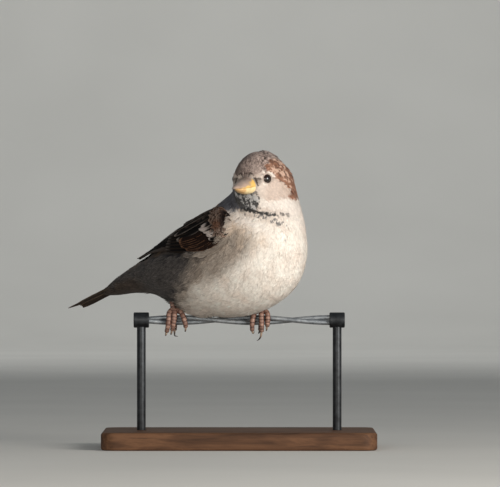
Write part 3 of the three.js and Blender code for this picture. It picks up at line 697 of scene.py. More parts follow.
def spread_roots(first, last, spacing, seed):
    """Even scatter of (ring, turn) over the body between two rings. The wanted number per
    area is summed over a fine grid, and a low-discrepancy sequence is sent through those
    sums, first along the body and then round it."""
    rows, columns = 400, 360
    ring, turn = np.meshgrid(np.linspace(first, last, rows),
                             np.linspace(-np.pi, np.pi, columns), indexing="ij")
    along, around, _ = body_slopes(ring, turn)
    area = np.linalg.norm(np.cross(along, around), axis=-1)
    area = area * (last - first) / rows * 2 * np.pi / columns
    weight = area / spacing(ring) ** 2
    count = int(weight.sum())
    one, two = even_pairs(np.arange(count) + seed)
    down = np.cumsum(weight.sum(axis=1))
    place = np.interp(one, down / down[-1], np.arange(rows))
    row = place.astype(int)
    across = np.cumsum(weight, axis=1)
    across = across / across[:, -1:] + np.arange(rows)[:, None]
    found = np.searchsorted(across.ravel(), two + row) % columns
    jitter = np.random.default_rng(seed).uniform(-0.5, 0.5, count)
    return (np.interp(place, np.arange(rows), ring[:, 0]),
            turn[0, np.clip(found, 0, columns - 1)] + jitter * 2 * np.pi / columns)


# %% The fan of blades
STATIONS = np.array([0.0, 0.42, 0.76, 1.0])
OUTLINE = np.array([0.45, 0.90, 1.0, 0.90])      # half width of the fan at each station
BLADE_POINTS = 7                                 # two at each station and one at the tip
BLADE_QUADS, BLADE_TIP = np.array([[0, 1, 3, 2], [2, 3, 5, 4]]), np.array([[4, 5, 6]])


def fan_blades(line, normal, width, blades, draw):
    """Blades about centre lines given at the four stations, with the surface's normal there.
    The outer blades and some others are shorter: they stop earlier along the same line.
    Returns the points and the directions they are shaded by, feather by feather and blade by
    blade, the share of the length at each point, and the blades' place across (-1 to 1). The
    directions are the body's own, tilted a little blade by blade, because down scatters light
    and shows the form under it rather than its own facets."""
    count = len(line)
    tangent = unit(np.gradient(line, axis=1))
    sideways = unit(np.cross(tangent, normal))
    place = (np.arange(blades) + 0.5) / blades * 2 - 1
    short = 0.30 * place ** 2 + draw.uniform(0, 0.26, (count, blades))
    splay = place * (width / 2)[:, None] * (1 + draw.normal(0, 0.10, (count, blades)))
    sway = draw.normal(0, 0.07, (count, blades)) * width[:, None]
    raise_by = draw.uniform(-0.015, 0.015, (count, blades)) * width[:, None]
    arch = -0.02 * place ** 2 * width[:, None]
    half = (width / blades * 1.05)[:, None]
    tilt = 0.14 * place + draw.normal(0, 0.07, (count, blades))
    points, facing = np.empty((2, count, blades, BLADE_POINTS, 3))
    for k, (s, wide) in enumerate(zip(STATIONS, OUTLINE)):
        share = vectors(*(np.interp(s * (1 - short), STATIONS, row) for row in np.eye(4)))
        centre, up, across = (np.einsum("nbj,njc->nbc", share, x)
                              for x in (line, normal, sideways))
        middle = centre + (splay * wide + sway * s ** 2)[..., None] * across
        middle = middle + ((arch + raise_by * s) * wide)[..., None] * up
        facing[:, :, 2 * k:2 * k + 2] = unit(up + tilt[..., None] * across)[:, :, None]
        if k < 3:
            edge = (half * (1.0, 1.1, 0.8)[k] * wide)[..., None] * across
            points[:, :, 2 * k], points[:, :, 2 * k + 1] = middle - edge, middle + edge
        else:
            points[:, :, -1] = middle
    return points, facing, np.repeat(STATIONS, [2, 2, 2, 1]), place


LIE_DOWN = np.array([-0.30, 0.24, -1.0])      # lie of the feathers where the neck twists


def body_lines(ring, turn, length, lean, depth, lift):
    """Centre lines stepped along the body surface by the feather's length. Each step leads
    tail-wards, or downwards where the neck twists, turned by the lean; in ring numbers and
    radians it is found from the surface's two slopes, by solving two equations in two
    unknowns. Heights run from the skin at the root up to lift at the tip."""
    rings, turns = [ring], [turn]
    for part in np.diff(STATIONS):
        along, around, normal = body_slopes(rings[-1], turns[-1])
        down = unit(LIE_DOWN - normal * (normal @ LIE_DOWN)[:, None])
        twist = smooth(rings[-1], 3.3, 4.4) * (1 - smooth(rings[-1], 6.0, 7.2))
        way = unit(mix(unit(along), down, 0.85 * twist))
        way = way * np.cos(lean)[:, None] + np.cross(normal, way) * np.sin(lean)[:, None]
        way = way * (length * part)[:, None]
        aa, ab, bb, pa, pb = ((p * q).sum(-1) for p, q in (
            (along, along), (along, around), (around, around), (along, way), (around, way)))
        area = np.maximum(aa * bb - ab ** 2, 1e-6)
        rings.append(np.clip(rings[-1] + (pa * bb - pb * ab) / area, 0.01, LAST_RING - 0.01))
        turns.append(turns[-1] + (pb * aa - pa * ab) / area)
    rings, turns = np.stack(rings, axis=1), np.stack(turns, axis=1)
    normal = body_slopes(rings, turns)[2]
    rise = smooth(STATIONS, -0.3, 0.62) * (depth + lift)[:, None] - depth[:, None]
    rise = rise - 0.05 * smooth(STATIONS, 0.7, 1.0) * depth[:, None]
    line = body_point(rings, turns) + normal * rise[..., None]
    return line, normal, (rings[:, -1], turns[:, -1])


def join_fans(name, fans, colours, home, slot, seed):
    """One joined piece of coat from fans. colours are a (centre, fringe) pair for each
    feather, and home is its root's place on the skin's unwrap, where the OFBake map gives
    it a small patch of its own. Single blades differ in tone, dark ones most, which is what
    makes a flank look streaked."""
    points, facing, share, place = fans
    count, blades = points.shape[:2]
    draw = np.random.default_rng(seed)
    dark = 1 - smooth(colours[0].mean(axis=1), 0.10, 0.55)
    tone = np.exp(0.04 * draw.normal(size=(count, 1, 1))
                  + (0.05 + 0.17 * dark)[:, None, None] * draw.normal(size=(count, blades, 1)))
    edge = smooth(share, 0.45, 0.95)[None, None] * (0.6 + 0.4 * place[None, :, None] ** 2)
    colour = mix(colours[0][:, None, None], colours[1][:, None, None],
                 np.broadcast_to(edge, (count, blades, BLADE_POINTS)))
    root = 1 - 0.12 * (1 - smooth(share, 0.05, 0.45))
    colour = np.clip(colour * (root * tone)[..., None], 0.002, 0.92)
    start = (np.arange(count * blades) * BLADE_POINTS)[:, None, None]
    quads = (start + BLADE_QUADS[None]).reshape(-1, 4)
    tips = (start + BLADE_TIP[None]).reshape(-1, 3)
    local = vectors(0.0014 * place[None, :, None] + 0.0001 * np.array([-1, 1, -1, 1, -1, 1, 0]),
                    0.0015 * (2 * share - 1)[None, None])
    uv = (home[:, None, None] + local).reshape(-1, 2)
    add_piece(name, points.reshape(-1, 3), [quads, tips], coat_finish, slot,
              colours=colour.reshape(-1, 3), uvs={"OFBake": uv}, normals=facing.reshape(-1, 3))


# %% [markdown]
# ## Where the coat changes
# The feathers of the face are a millimetre or two long and lie close, those of the belly are
# nearly a centimetre and loose. Round the eye and the bill they stop short and leave the lids
# and the horn bare. At the front edge of the wing the flank feathers stand out over it, and
# here and there a loose one sticks out of the outline, most of all on the hind head.

# %% Sizes over the body
EYE_CENTRE, EYE_RADIUS, EYE_OPENING = (9.4, 7.1, 63.8), 2.5, 2.0  # in the head's frame
EYE_SPOT = np.array([39.9, 8.9, 63.8])       # where its axis comes through the coat
LENGTHS = [1.0, 1.4, 1.9, 2.7, 4.2, 6.0, 7.2, 8.2, 9.2, 10.0, 9.5, 8.5, 7.5]
WIDTHS = [0.50, 0.60, 0.80, 1.1, 1.5, 1.9, 2.2, 2.4, 2.6, 2.6, 2.4, 2.2, 2.0]
SPACINGS = [0.32, 0.35, 0.41, 0.52, 0.68, 0.84, 0.95, 1.02, 1.08, 1.12, 1.08, 0.98, 0.92]


def spacing(ring):
    """Distance between roots in millimetres: closest on the face, widest on the belly."""
    return np.interp(ring, COAT_RINGS, SPACINGS)


def away_from_eye(flu):
    """Distance from the eye's axis where it comes through the coat, on either side."""
    return np.linalg.norm(mirrored(flu) - EYE_SPOT, axis=-1)


def sizes(ring, turn, seed):
    """Length, width, lean, depth and tip lift for feathers at these roots, with a spread of
    a tenth or so from feather to feather."""
    draw = np.random.default_rng(seed)
    count = len(ring)
    flu = straight_body(ring, turn)
    length = np.interp(ring, COAT_RINGS, LENGTHS) * draw.uniform(0.85, 1.15, count)
    width = np.interp(ring, COAT_RINGS, WIDTHS) * draw.uniform(0.85, 1.15, count)
    lean = 0.15 * waves(flu, 9.0, 21) + 0.08 * draw.normal(size=count)
    depth = coat_depth(ring)
    lift = 0.03 * draw.normal(size=count) * depth - 0.12
    loose = draw.uniform(size=count) < 0.008 + 0.06 * near(flu, 24.0, 4.0, 72.0, 16.0)
    lift = lift + loose * draw.uniform(0.1, 0.5, count)
    ruffled = near(flu, 29.5, 3.5, 75.5, 5.5) * (flu[:, 1] > 0)
    lift = lift + 1.1 * ruffled * draw.uniform(0.0, 1.0, count) ** 2
    lift = lift - 0.5 * smooth(3.0 - flu[:, 1], 0, 3) * smooth(flu[:, 2], 61, 66) * (
        1 - smooth(ring, 3.0, 4.0))
    across, _, above = np.moveaxis(body_point(ring, turn) - [PERCH_X, 0, PERCH_HEIGHT], -1, 0)
    hanging = smooth(9.5 - above, 0, 5) * (1 - smooth(np.abs(across + 12), 8, 15))
    lift = lift + 2.3 * hanging * draw.uniform(0.4, 1.1, count)
    edge = distance_to(body_point(ring, turn), front_edge)
    lift = lift + 1.1 * (1 - smooth(edge, 0.0, 8.0))
    gap = away_from_eye(flu) - EYE_OPENING
    length = np.where(flu[:, 0] > EYE_SPOT[0], np.minimum(length, np.maximum(gap, 0.35)), length)
    lift = lift - 0.2 * (1 - smooth(gap, 0.3, 1.5))
    return length, width, lean, depth, np.maximum(lift, -0.5 * depth)


def clear_of(ring, turn):
    """True where a root may stand: off the lids, off the bill, and not under a wing."""
    flu = straight_body(ring, turn)
    point = body_point(ring, turn)
    beside_bill = smooth(np.abs(flu[:, 1]), 3.0, 5.0) * smooth(66.0 - flu[:, 2], 0, 1.5)
    on_bill = (ring < 0.45 * beside_bill) & (np.abs(flu[:, 2] - 61.0) < 4.0)
    covered = (distance_to(point, under_wing) < 2.9) & (ring > 5.6)
    return (away_from_eye(flu) > EYE_OPENING - 0.10) & ~on_bill & ~covered


# %% Coat, piece by piece
# name; rings from and to; angle from the back from and to; blades; slot
COAT_PARTS = (("coat_face", 0.0, 4.2, 1.25, 3.2, 7, "plumage_head"),
              ("coat_crown", 0.0, 4.2, 0.0, 1.25, 7, "plumage_head"),
              ("coat_neck", 4.2, 5.8, 0.0, 3.2, 9, "plumage_neck"),
              ("coat_breast", 5.8, 7.6, 0.0, 3.2, 10, "plumage_body"),
              ("coat_belly", 7.6, 9.3, 0.0, 3.2, 10, "plumage_body"),
              ("coat_loin", 9.3, 11.4, 0.0, 3.2, 10, "plumage_body"),
              ("coat_rear", 11.4, 15.9, 0.0, 3.2, 9, "plumage_body"))
for number, (name, first, last, top, bottom, blades, slot) in enumerate(COAT_PARTS):
    ring, turn = spread_roots(first, last, spacing, 100 + number)
    angle = off_back(turn)
    keep = (angle >= top) & (angle < bottom) & clear_of(ring, turn)
    ring, turn = ring[keep], turn[keep]
    length, width, lean, depth, lift = sizes(ring, turn, 200 + number)
    line, normal, (tip_ring, tip_turn) = body_lines(ring, turn, length, lean, depth, lift)
    draw = np.random.default_rng(300 + number)
    fans = fan_blades(line, normal, width, blades, draw)
    colours = markings(0.3 * ring + 0.7 * tip_ring, 0.3 * turn + 0.7 * tip_turn,
                       draw.uniform(size=len(ring)))
    print(name, "roots", len(ring))
    join_fans(name, fans, colours, unwrap(ring, turn, first - 0.1, last + 0.1), slot, 330 + number)

# %% [markdown]
# ## Large feathers
# The wing, the tail and the back carry feathers one can count: firm vanes with a shaft, a
# narrow outer web, a broad inner one and a paler edge. Each is a thin closed blade, lofted
# through rings from its base to its tip. All feathers of one group are worked out in one
# array, since they differ only in place, size and colour.

# %% Vanes from centre lines
VANE_ROWS = 12
VANE_ACROSS = np.array([-1, -0.82, -0.52, -0.18, 0, 0.18, 0.52, 0.82, 1.0])
vane_s = 1 - (1 - np.linspace(0, 1, VANE_ROWS)) ** 1.25      # closer rows near the tip
ring_u = np.concatenate([VANE_ACROSS, VANE_ACROSS[-2:0:-1]])
ring_face = np.concatenate([np.ones(len(VANE_ACROSS)), -np.ones(len(VANE_ACROSS) - 2)])


def per_feather(value, count):
    """One number for each feather, shaped to go with a grid of points on each."""
    return np.broadcast_to(value, count)[:, None, None]


def vane_points(line, normal, sideways, width, round_from, power, outer_web, thick, arch, seed):
    """Closed blades. The half width opens quickly from the quill, stays, and closes past
    round_from on a superellipse of this power (2 is round, lower is pointed). The outer web
    takes its share of the width, the shaft stands up as a small ridge, and the edges wave a
    little where barbs have parted."""
    draw = np.random.default_rng(seed)
    count = len(line)
    s = vane_s[None, :, None]
    width, begin, power, outer = (per_feather(x, count)
                                  for x in (width, round_from, power, outer_web))
    past = np.clip((s - begin) / (1 - begin), 0, 1)
    closing = (1 - past ** power) ** (1 / power)
    half = width / 2 * np.minimum(1, 0.3 + 3.2 * s) * np.maximum(closing, 0.04)
    web = np.where(ring_u < 0, 2 * outer, 2 * (1 - outer))
    wear = 1 + 0.05 * draw.normal(size=(count, VANE_ROWS, len(ring_u))) * (np.abs(ring_u) > 0.9)
    x = half * ring_u * web * wear
    body = thick * np.sqrt(np.clip(1 - ring_u ** 2, 0, 1)) * ring_face
    ridge = 0.16 * np.exp(-(ring_u / 0.1) ** 2) * (1 - 0.7 * s) * (ring_face > 0)
    sag = -arch * ring_u ** 2 * width
    ripple = 0.04 * np.sin(ring_u * 9 + draw.uniform(0, 6, (count, 1, 1)) + 5 * s)
    lift = body + ridge + sag + ripple
    points = (line[:, :, None] + x[..., None] * sideways[:, :, None]
              + lift[..., None] * normal[:, :, None])
    start = line[:, 0] - 0.3 * unit(line[:, 1] - line[:, 0])
    end = line[:, -1] + 0.12 * unit(line[:, -1] - line[:, -2])
    return np.concatenate([start[:, None], points.reshape(count, -1, 3), end[:, None]], axis=1)


def vane_colours(count, centre, edge, tip, outer_edge, inner_edge, tip_share, seed):
    """Colour over each blade: the centre colour, blending to the edge colour over a share of either
    web, to the tip colour past one less the tip's share, with a dark shaft and a small random tone,
    feather by feather and point by point. Colours are one for all or one each."""
    draw = np.random.default_rng(seed)
    s = vane_s[None, :, None]
    centre, edge, tip = (np.broadcast_to(x, (count, 3))[:, None, None]
                         for x in (centre, edge, tip))
    outer, inner, last = (per_feather(x, count) for x in (outer_edge, inner_edge, tip_share))
    share = np.where(ring_u < 0, outer, inner)
    fringe = smooth(np.abs(ring_u), 1 - share, 1 - 0.35 * share) * smooth(s, 0.02, 0.2)
    at_tip = smooth(s + 0.05 * (1 - np.abs(ring_u)), 1 - last, 1 - 0.4 * last)
    shaft = (1 - smooth(np.abs(ring_u), 0.02, 0.14)) * (1 - 0.6 * s)
    colour = mix(mix(centre, edge, fringe), tip, at_tip) * (1 - 0.45 * shaft)[..., None]
    tone = 1 + 0.06 * draw.normal(size=(count, 1, 1)) + 0.05 * draw.normal(
        size=(count, VANE_ROWS, len(ring_u)))
    colour = np.clip(colour * tone[..., None], 0.002, 0.92).reshape(count, -1, 3)
    return np.concatenate([colour[:, :1], colour, colour[:, -1:]], axis=1)


def line_length(line):
    """Length of each centre line, step by step."""
    return np.linalg.norm(np.diff(line, axis=1), axis=-1).sum(axis=1)


def across_line(line, up):
    """Way across each blade: up, less its part along the centre line."""
    tangent = unit(np.gradient(line, axis=1))
    return unit(up - tangent * (up * tangent).sum(-1, keepdims=True))


def vane_group(line, normal, sideways, width, cut, paints, seed):
    """Points, colours and lengths of a group of vanes. cut is where the rounding starts, its
    power, the outer web's share, thickness and arch; paints are the colours of centre, edge
    and tip, and the shares of the outer edge, the inner edge and the tip."""
    return (vane_points(line, normal, sideways, width, *cut, seed),
            vane_colours(len(line), *paints, seed), line_length(line))


def vane_maps(count, length):
    """Two UV maps: Vane runs across the blade and, in centimetres, along it; OFBake gives
    every feather a cell of its own in a square grid."""
    across = np.broadcast_to(ring_u, (VANE_ROWS, len(ring_u))).ravel()
    up = np.broadcast_to(vane_s[:, None], (VANE_ROWS, len(ring_u))).ravel()
    across, up = np.concatenate([[0], across, [0]]), np.concatenate([[0], up, [1]])
    side = int(np.ceil(np.sqrt(count)))
    cell = np.arange(count)
    corner = vectors(cell % side, cell // side)[:, None]
    inside = vectors(0.5 + 0.42 * across, 0.08 + 0.84 * up)[None]
    vane = vectors(0.5 + 0.5 * across[None], up[None] * length[:, None] / 10)
    return {"Vane": vane.reshape(-1, 2), "OFBake": ((corner + inside) / side).reshape(-1, 2)}


def firm_finish(name):
    """Firm feather finish: the point colour, with the fine slanting lines of the barbs as
    bump and as a faint change of tone. The lines run out from the shaft towards the tip, so
    their place is the way along less a part of the way out."""
    material, output = new_material(name)

    def sums(operation, *values):
        """One step of arithmetic on sockets and numbers."""
        return node(material, "Math", dict(enumerate(values)), operation=operation).outputs[0]

    uv = node(material, "UVMap", uv_map="Vane").outputs["UV"]
    parts = node(material, "SeparateXYZ", {"Vector": uv}).outputs
    out = sums("ABSOLUTE", sums("SUBTRACT", parts["X"], 0.5))
    slant = sums("MULTIPLY_ADD", out, -0.55, parts["Y"])
    lines = sums("SINE", sums("MULTIPLY_ADD", slant, 190.0, noise_over(material, 700.0)))
    shade = toned(material, painted(material), mapped(material, lines, 0.90, 1.08, (-1.0, 1.0)))
    return finish_with(material, output, {
        "Base Color": shade, "Roughness": 0.75, "Specular IOR Level": 0.06,
        "Normal": bumped(material, lines, 0.35, 0.00006)})


vane_finish = firm_finish("firm_feather")


def join_vanes(name, groups, slot, replaces=()):
    """One piece from groups of (points, colours, lengths)."""
    points, colours, length = (np.concatenate(parts) for parts in zip(*groups))
    count, each = points.shape[:2]
    start = (np.arange(count) * each)[:, None, None]
    faces = [(start + f[None]).reshape(-1, f.shape[1])
             for f in closed_faces(VANE_ROWS, len(ring_u))]
    add_piece(name, points.reshape(-1, 3), faces, vane_finish, slot, replaces=replaces,
              colours=colours.reshape(-1, 3), uvs=vane_maps(count, length))


# %% [markdown]
# ## Folded wings
# A folded wing is a fan shut like a hand of cards. The outer primaries lie lowest and
# reach furthest, the secondaries lie over them, the three broad tertials cover those, and
# rows of coverts roof the bases: greater, median with their white tips, and the small
# chestnut lesser coverts at the shoulder. Each row is written as its first and its last
# feather on the chart of the wing: how far from wrist to tip, and how far from the lower
# edge to the upper. Upper feathers lie over lower ones, and each is tilted like a roof tile,
# so that its outer edge stands free.

# %% Rows of wing feathers
def spread(points, k):
    """Places along a chain of points, for k from 0 to 1, each step an equal share of k."""
    points = np.asarray(points, float)
    steps = np.linspace(0, 1, len(points))
    return vectors(*(np.interp(k, steps, column) for column in points.T))


def wing_row(side, count, root, tip, width, level, stray, seed):
    """Centre lines, normals, ways across and widths for one row of feathers: roots and tips
    spread along chains of chart points, width and level (height at root and at tip) as pairs
    of first, last. The tips stray at random."""
    draw = np.random.default_rng(seed)
    k = np.linspace(0, 1, count)
    s = vane_s[None]
    start = spread(root, k)
    end = spread(tip, k) + draw.normal(0, stray, (count, 2))
    a = start[:, :1] + (end[:, :1] - start[:, :1]) * s
    b = start[:, 1:] + (end[:, 1:] - start[:, 1:]) * s - 0.10 * s * (1 - s)
    point, out, up = wing_frame(a, b, side)
    low_high = spread(level, k)
    height = low_high[:, :1] + (low_high[:, 1:] - low_high[:, :1]) * s
    line = point + out * height[..., None]
    flat = across_line(line, up)
    sideways = flat * np.cos(TILE) - out * np.sin(TILE)
    normal = out * np.cos(TILE) + flat * np.sin(TILE)
    return line, normal, sideways, width[0] + (width[1] - width[0]) * k


# %% Wing feathers
# Wing colours are painted darker than the feathers' own, and the white bar greyed: painted shade over
# the folded wing.
DARK, DARKER, BROWN = tint("171413"), tint("120f0e"), tint("2e251f")
GREYISH, PALE, SHADED_WING_BAR_WHITE = tint("5c544f"), tint("8a7f77"), tint("bdb0a8")
RUFOUS_DARK, COVERT_EDGE = tint("211612"), tint("825f48")
PRIMARY_EDGE, TERTIAL_EDGE = tint("221f1e"), tint("7a716a")

TILE = 0.16                      # tilt of every feather, its outer edge away from the wing

# row: count; roots and tips from the lowest feather to the highest; widths; levels; how far
# tips stray; cut (where rounding starts, its power, outer web); paints (centre, edge, tip; the
# shares of the outer edge, the inner edge and, from the first to the last feather, the tip)
WING_ROWS = (
    ("primaries", 8, ((0.15, 0.07), (0.16, 0.32)), ((1.035, 0.30), (0.66, 0.42)), (3.6, 5.2),
     ((-0.5, -0.3), (-0.2, 0.0)), 0.006, (0.72, 1.5, 0.3),
     (DARK, PRIMARY_EDGE, DARK, 0.16, 0.05, (0.02, 0.02))),
    ("secondaries", 6, ((0.14, 0.05), (0.18, 0.40)), ((0.60, 0.06), (0.59, 0.42)), (4.4, 5.4),
     ((0.0, 0.1), (0.2, 0.3)), 0.006, (0.86, 2.4, 0.34),
     (DARKER, BROWN, GREYISH, 0.36, 0.08, (0.03, 0.03))),
    ("tertials", 3, ((0.20, 0.52), (0.20, 0.68), (0.24, 0.82)),
     ((0.505, 0.25), (0.525, 0.37), (0.54, 0.50)), (4.6, 4.8), ((0.2, 0.45), (0.4, 0.7)),
     0.004, (0.80, 2.6, 0.46), (DARKER, TERTIAL_EDGE, PALE, 0.22, 0.24, (0.06, 0.06))),
    ("greater_coverts", 10, ((0.12, 0.02), (0.18, 0.09), (0.21, 0.20), (0.22, 0.34)),
     ((0.325, 0.0), (0.42, 0.03), (0.465, 0.10), (0.47, 0.20)), (3.0, 3.6),
     ((0.3, 0.5), (0.5, 0.8)), 0.008, (0.80, 2.4, 0.42),
     (RUFOUS_DARK, COVERT_EDGE, COVERT_EDGE, 0.15, 0.05, (0.03, 0.05))),
    ("primary_coverts", 4, ((0.06, 0.01), (0.07, 0.06)), ((0.28, 0.015), (0.25, 0.07)),
     (2.2, 2.6), ((0.2, 0.35), (0.25, 0.45)), 0.006, (0.72, 1.6, 0.4),
     (DARKER, BROWN, BROWN, 0.25, 0.1, (0.05, 0.05))),
    ("alula", 3, ((0.02, 0.04), (0.03, 0.16)), ((0.185, 0.03), (0.13, 0.12)), (2.8, 2.8),
     ((0.4, 0.5), (0.5, 0.6)), 0.006, (0.66, 1.7, 0.4),
     (DARKER, GREYISH, BROWN, 0.2, 0.08, (0.04, 0.04))),
    ("median_coverts", 13, ((0.04, 0.0), (0.09, 0.07), (0.125, 0.22), (0.15, 0.48)),
     ((0.12, 0.03), (0.20, 0.12), (0.25, 0.24), (0.28, 0.43)), (2.8, 3.4),
     ((0.45, 0.7), (0.65, 0.95)), 0.020, (0.50, 2.2, 0.5),
     (DARKER, PALE, SHADED_WING_BAR_WHITE, 0.12, 0.12, (0.04, 0.05, 0.08, 0.42, 0.62, 0.62, 0.44))),
    ("marginal_coverts", 12, ((0.0, 0.0), (0.0, 0.5), (0.005, 0.95)),
     ((0.05, 0.0), (0.034, 0.4), (0.035, 0.95)), (2.3, 2.6),
     ((0.2, 0.6), (0.2, 0.6)), 0.006, (0.45, 2.0, 0.5),
     (DARKER, COVERT_EDGE, PALE, 0.20, 0.20, (0.16, 0.20))),
)


def wing_group(side, spec, seed):
    """One row of wing feathers from its line in the table."""
    _, count, root, tip, width, level, stray, cut, (*paints, tip_share) = spec
    row = wing_row(side, count, root, tip, width, level, stray, seed)
    tip_share = spread(np.reshape(tip_share, (-1, 1)), np.linspace(0, 1, count))[:, 0]
    tip_share = tip_share * (1 + 0.3 * np.sin(np.arange(count) * 2.4))
    return vane_group(*row, (*cut, 0.07, 0.045), (*paints, tip_share), seed)


SMALL_CUT = (0.5, 2.1, 0.5, 0.06, 0.06)      # cut of the small round feathers


def scattered_group(side, a, b, reach, drop, width, level, centre, edge, seed):
    """Small overlapping feathers sown over a stretch of the chart, row behind row, each as
    long as reach in chart units and leaning downwards by drop over that length."""
    count = len(a)
    draw = np.random.default_rng(seed)
    span = reach * draw.uniform(0.85, 1.15, count)
    s = vane_s[None]
    aa = a[:, None] + span[:, None] * s
    bb = b[:, None] + (draw.normal(0, 0.02, count) + drop)[:, None] * s
    point, out, up = wing_frame(aa, bb, side)
    height = level + (-0.25 + 0.6 * smooth(s, 0, 1)) + 0.6 * (a.max() - a)[:, None]
    line = point + out * height[..., None]
    return vane_group(line, out, across_line(line, up), width * draw.uniform(0.85, 1.15, count),
                      SMALL_CUT, (centre, edge, edge, 0.34, 0.34, 0.24), seed)


def sown(count, a_span, b_span):
    """Even scatter over a stretch of the chart, by the low-discrepancy pairs."""
    one, two = even_pairs(np.arange(count) + 0.5)
    return (a_span[0] + (a_span[1] - a_span[0]) * one, b_span[0] + (b_span[1] - b_span[0]) * two)


def chart_near(a, b, at, radius):
    """1 at a place of the chart, falling to 0 at a radius; b counts as a third of a."""
    return 1 - smooth(np.hypot(a - at[0], (b - at[1]) / 3), 0.3 * radius, radius)


lesser_a, lesser_b = sown(86, (0.0, 0.135), (0.02, 1.0))
keep = lesser_b > 0.05 + 1.6 * np.maximum(lesser_a - 0.07, 0)
lesser_a, lesser_b = lesser_a[keep], lesser_b[keep]
# Painted shade: the lesser coverts at the wing's front edge, under the breast, are darkened.
front_shade = 0.9 * smooth(0.050 - lesser_a, 0.0, 0.030) * smooth(lesser_b, 0.05, 0.3)
rufous = chart_near(lesser_a, lesser_b, (0.075, 0.40), 0.07)
chance = rng.uniform(size=len(lesser_a))
lesser_centre = mix(mix(tint("2b201c"), tint("4c3326"), np.maximum(rufous, chance)), DARKER, front_shade)
lesser_edge = mix(mix(tint("867367"), tint("6a4735"), 0.8 * rufous), tint("2c2220"), front_shade)
scapular_a, scapular_b = sown(70, (0.08, 0.36), (0.40, 1.04))
keep = scapular_b > 0.88 - 0.95 * scapular_a
scapular_a, scapular_b = scapular_a[keep], scapular_b[keep]
chance = rng.uniform(size=(2, len(scapular_a)))
# Scapulars are painted dark grey-brown, darker than their own buff and black: painted shade over the
# back.
scapular_centre = mix(DARKER, tint("4b3c33"), smooth(chance[0], 0.5, 0.9))
scapular_edge = mix(tint("3d342f"), tint("5a5049"), chance[1])

for word, side in SIDES.items():
    groups = [wing_group(side, spec, 400 + 7 * n) for n, spec in enumerate(WING_ROWS)]
    groups.append(scattered_group(side, lesser_a, lesser_b, 0.08, -0.06, 3.0, 0.60,
                                  lesser_centre, lesser_edge, 471))
    groups.append(scattered_group(side, scapular_a, scapular_b, 0.15, -0.13, 3.6, 0.12,
                                  scapular_centre, scapular_edge, 472))
    join_vanes("wing_feathers_" + word, groups, "plumage_wing", replaces=("wing_" + word,))

# %% [markdown]
# ## Under the wing feathers
# Between the feathers one never sees air but more feather. A dark closed lens under the rows
# stands for the bases of the feathers and for the wing's inner face.

# %% Wing beds
BED_ROWS, BED_COLUMNS = 40, 24
bed_a, bed_turn = np.meshgrid(np.linspace(0.0, 0.97, BED_ROWS),
                              np.linspace(0, 2 * np.pi, BED_COLUMNS, endpoint=False),
                              indexing="ij")
bed_b = 0.5 - 0.47 * np.cos(bed_turn)
bed_height = np.where(np.sin(bed_turn) > 0, -0.35, -1.4) * (0.3 + 0.7 * np.abs(np.sin(bed_turn)))
for word, side in SIDES.items():
    point, out, _ = wing_frame(bed_a, bed_b, side)
    bed = point + out * bed_height[..., None]
    bed = closed_points(bed, bed[0].mean(axis=0), bed[-1].mean(axis=0))
    add_piece("wing_bed_" + word, bed, closed_faces(BED_ROWS, BED_COLUMNS, flip=side < 0),
              skin_finish, "plumage_wing", colours=np.tile(tint("3a2f28"), (len(bed), 1)))

# %% [markdown]
# ## Tail
# Twelve feathers close into a narrow, slightly notched blade. The middle pair lies on top and
# each next pair under it and a little further out, so from above one sees the middle pair
# and a stack of edges.

# %% Tail feathers
TAIL_ROOT, TAIL_TIP = np.array([-40.0, 22.0]), np.array([-80.6, 5.8])
TAIL_COUNT = 12


def tail_lines(seed):
    """Centre lines, normals and ways across of the feathers: the root close to the middle, the
    tip spread out by its rank, each pair a little lower than the one before."""
    draw = np.random.default_rng(seed)
    rank = np.repeat(np.arange(TAIL_COUNT // 2), 2)
    hand = np.tile([1, -1], TAIL_COUNT // 2)[:, None]
    s = vane_s[None]
    reach = 1 + 0.008 * rank + draw.normal(0, 0.004, TAIL_COUNT)
    f = TAIL_ROOT[0] + (TAIL_TIP[0] - TAIL_ROOT[0]) * s * reach[:, None]
    u = TAIL_ROOT[1] + (TAIL_TIP[1] - TAIL_ROOT[1]) * s
    u = u + 0.95 - 0.33 * rank[:, None] - 0.16 * (hand < 0)
    aside = hand * (0.8 + 0.92 * rank[:, None]) * (0.55 + 0.45 * s)
    lean = 0.07 * hand * rank[:, None] / 5
    up = direction(from_trunk, vectors(-0.34, lean, 0.94))
    inward = direction(from_trunk, vectors(0.0, hand, -np.abs(lean)))
    return from_trunk(vectors(f, aside, u)), unit(up), -unit(inward), rank


line, up, inward, rank = tail_lines(500)
tail_points = vane_points(line, up, inward, 7.4 - 0.35 * rank, 0.86, 2.2,
                          np.where(rank > 0, 0.3, 0.46), 0.09, 0.02, 501)
tail_colours = vane_colours(TAIL_COUNT, tint("40342c"), tint("97836c"), tint("5a4a3e"),
                            0.20, 0.12, 0.03, 502)
join_vanes("tail_feathers", [(tail_points, tail_colours, line_length(line))], "plumage_tail",
           replaces=("tail",))

# %% [markdown]
# ## Back feathers
# Mantle feathers are small firm vanes, buff-brown with a black streak down the middle, and
# they roof the back between the wings. They are placed by ring and angle like the soft coat,
# but shaped like the wing's coverts.

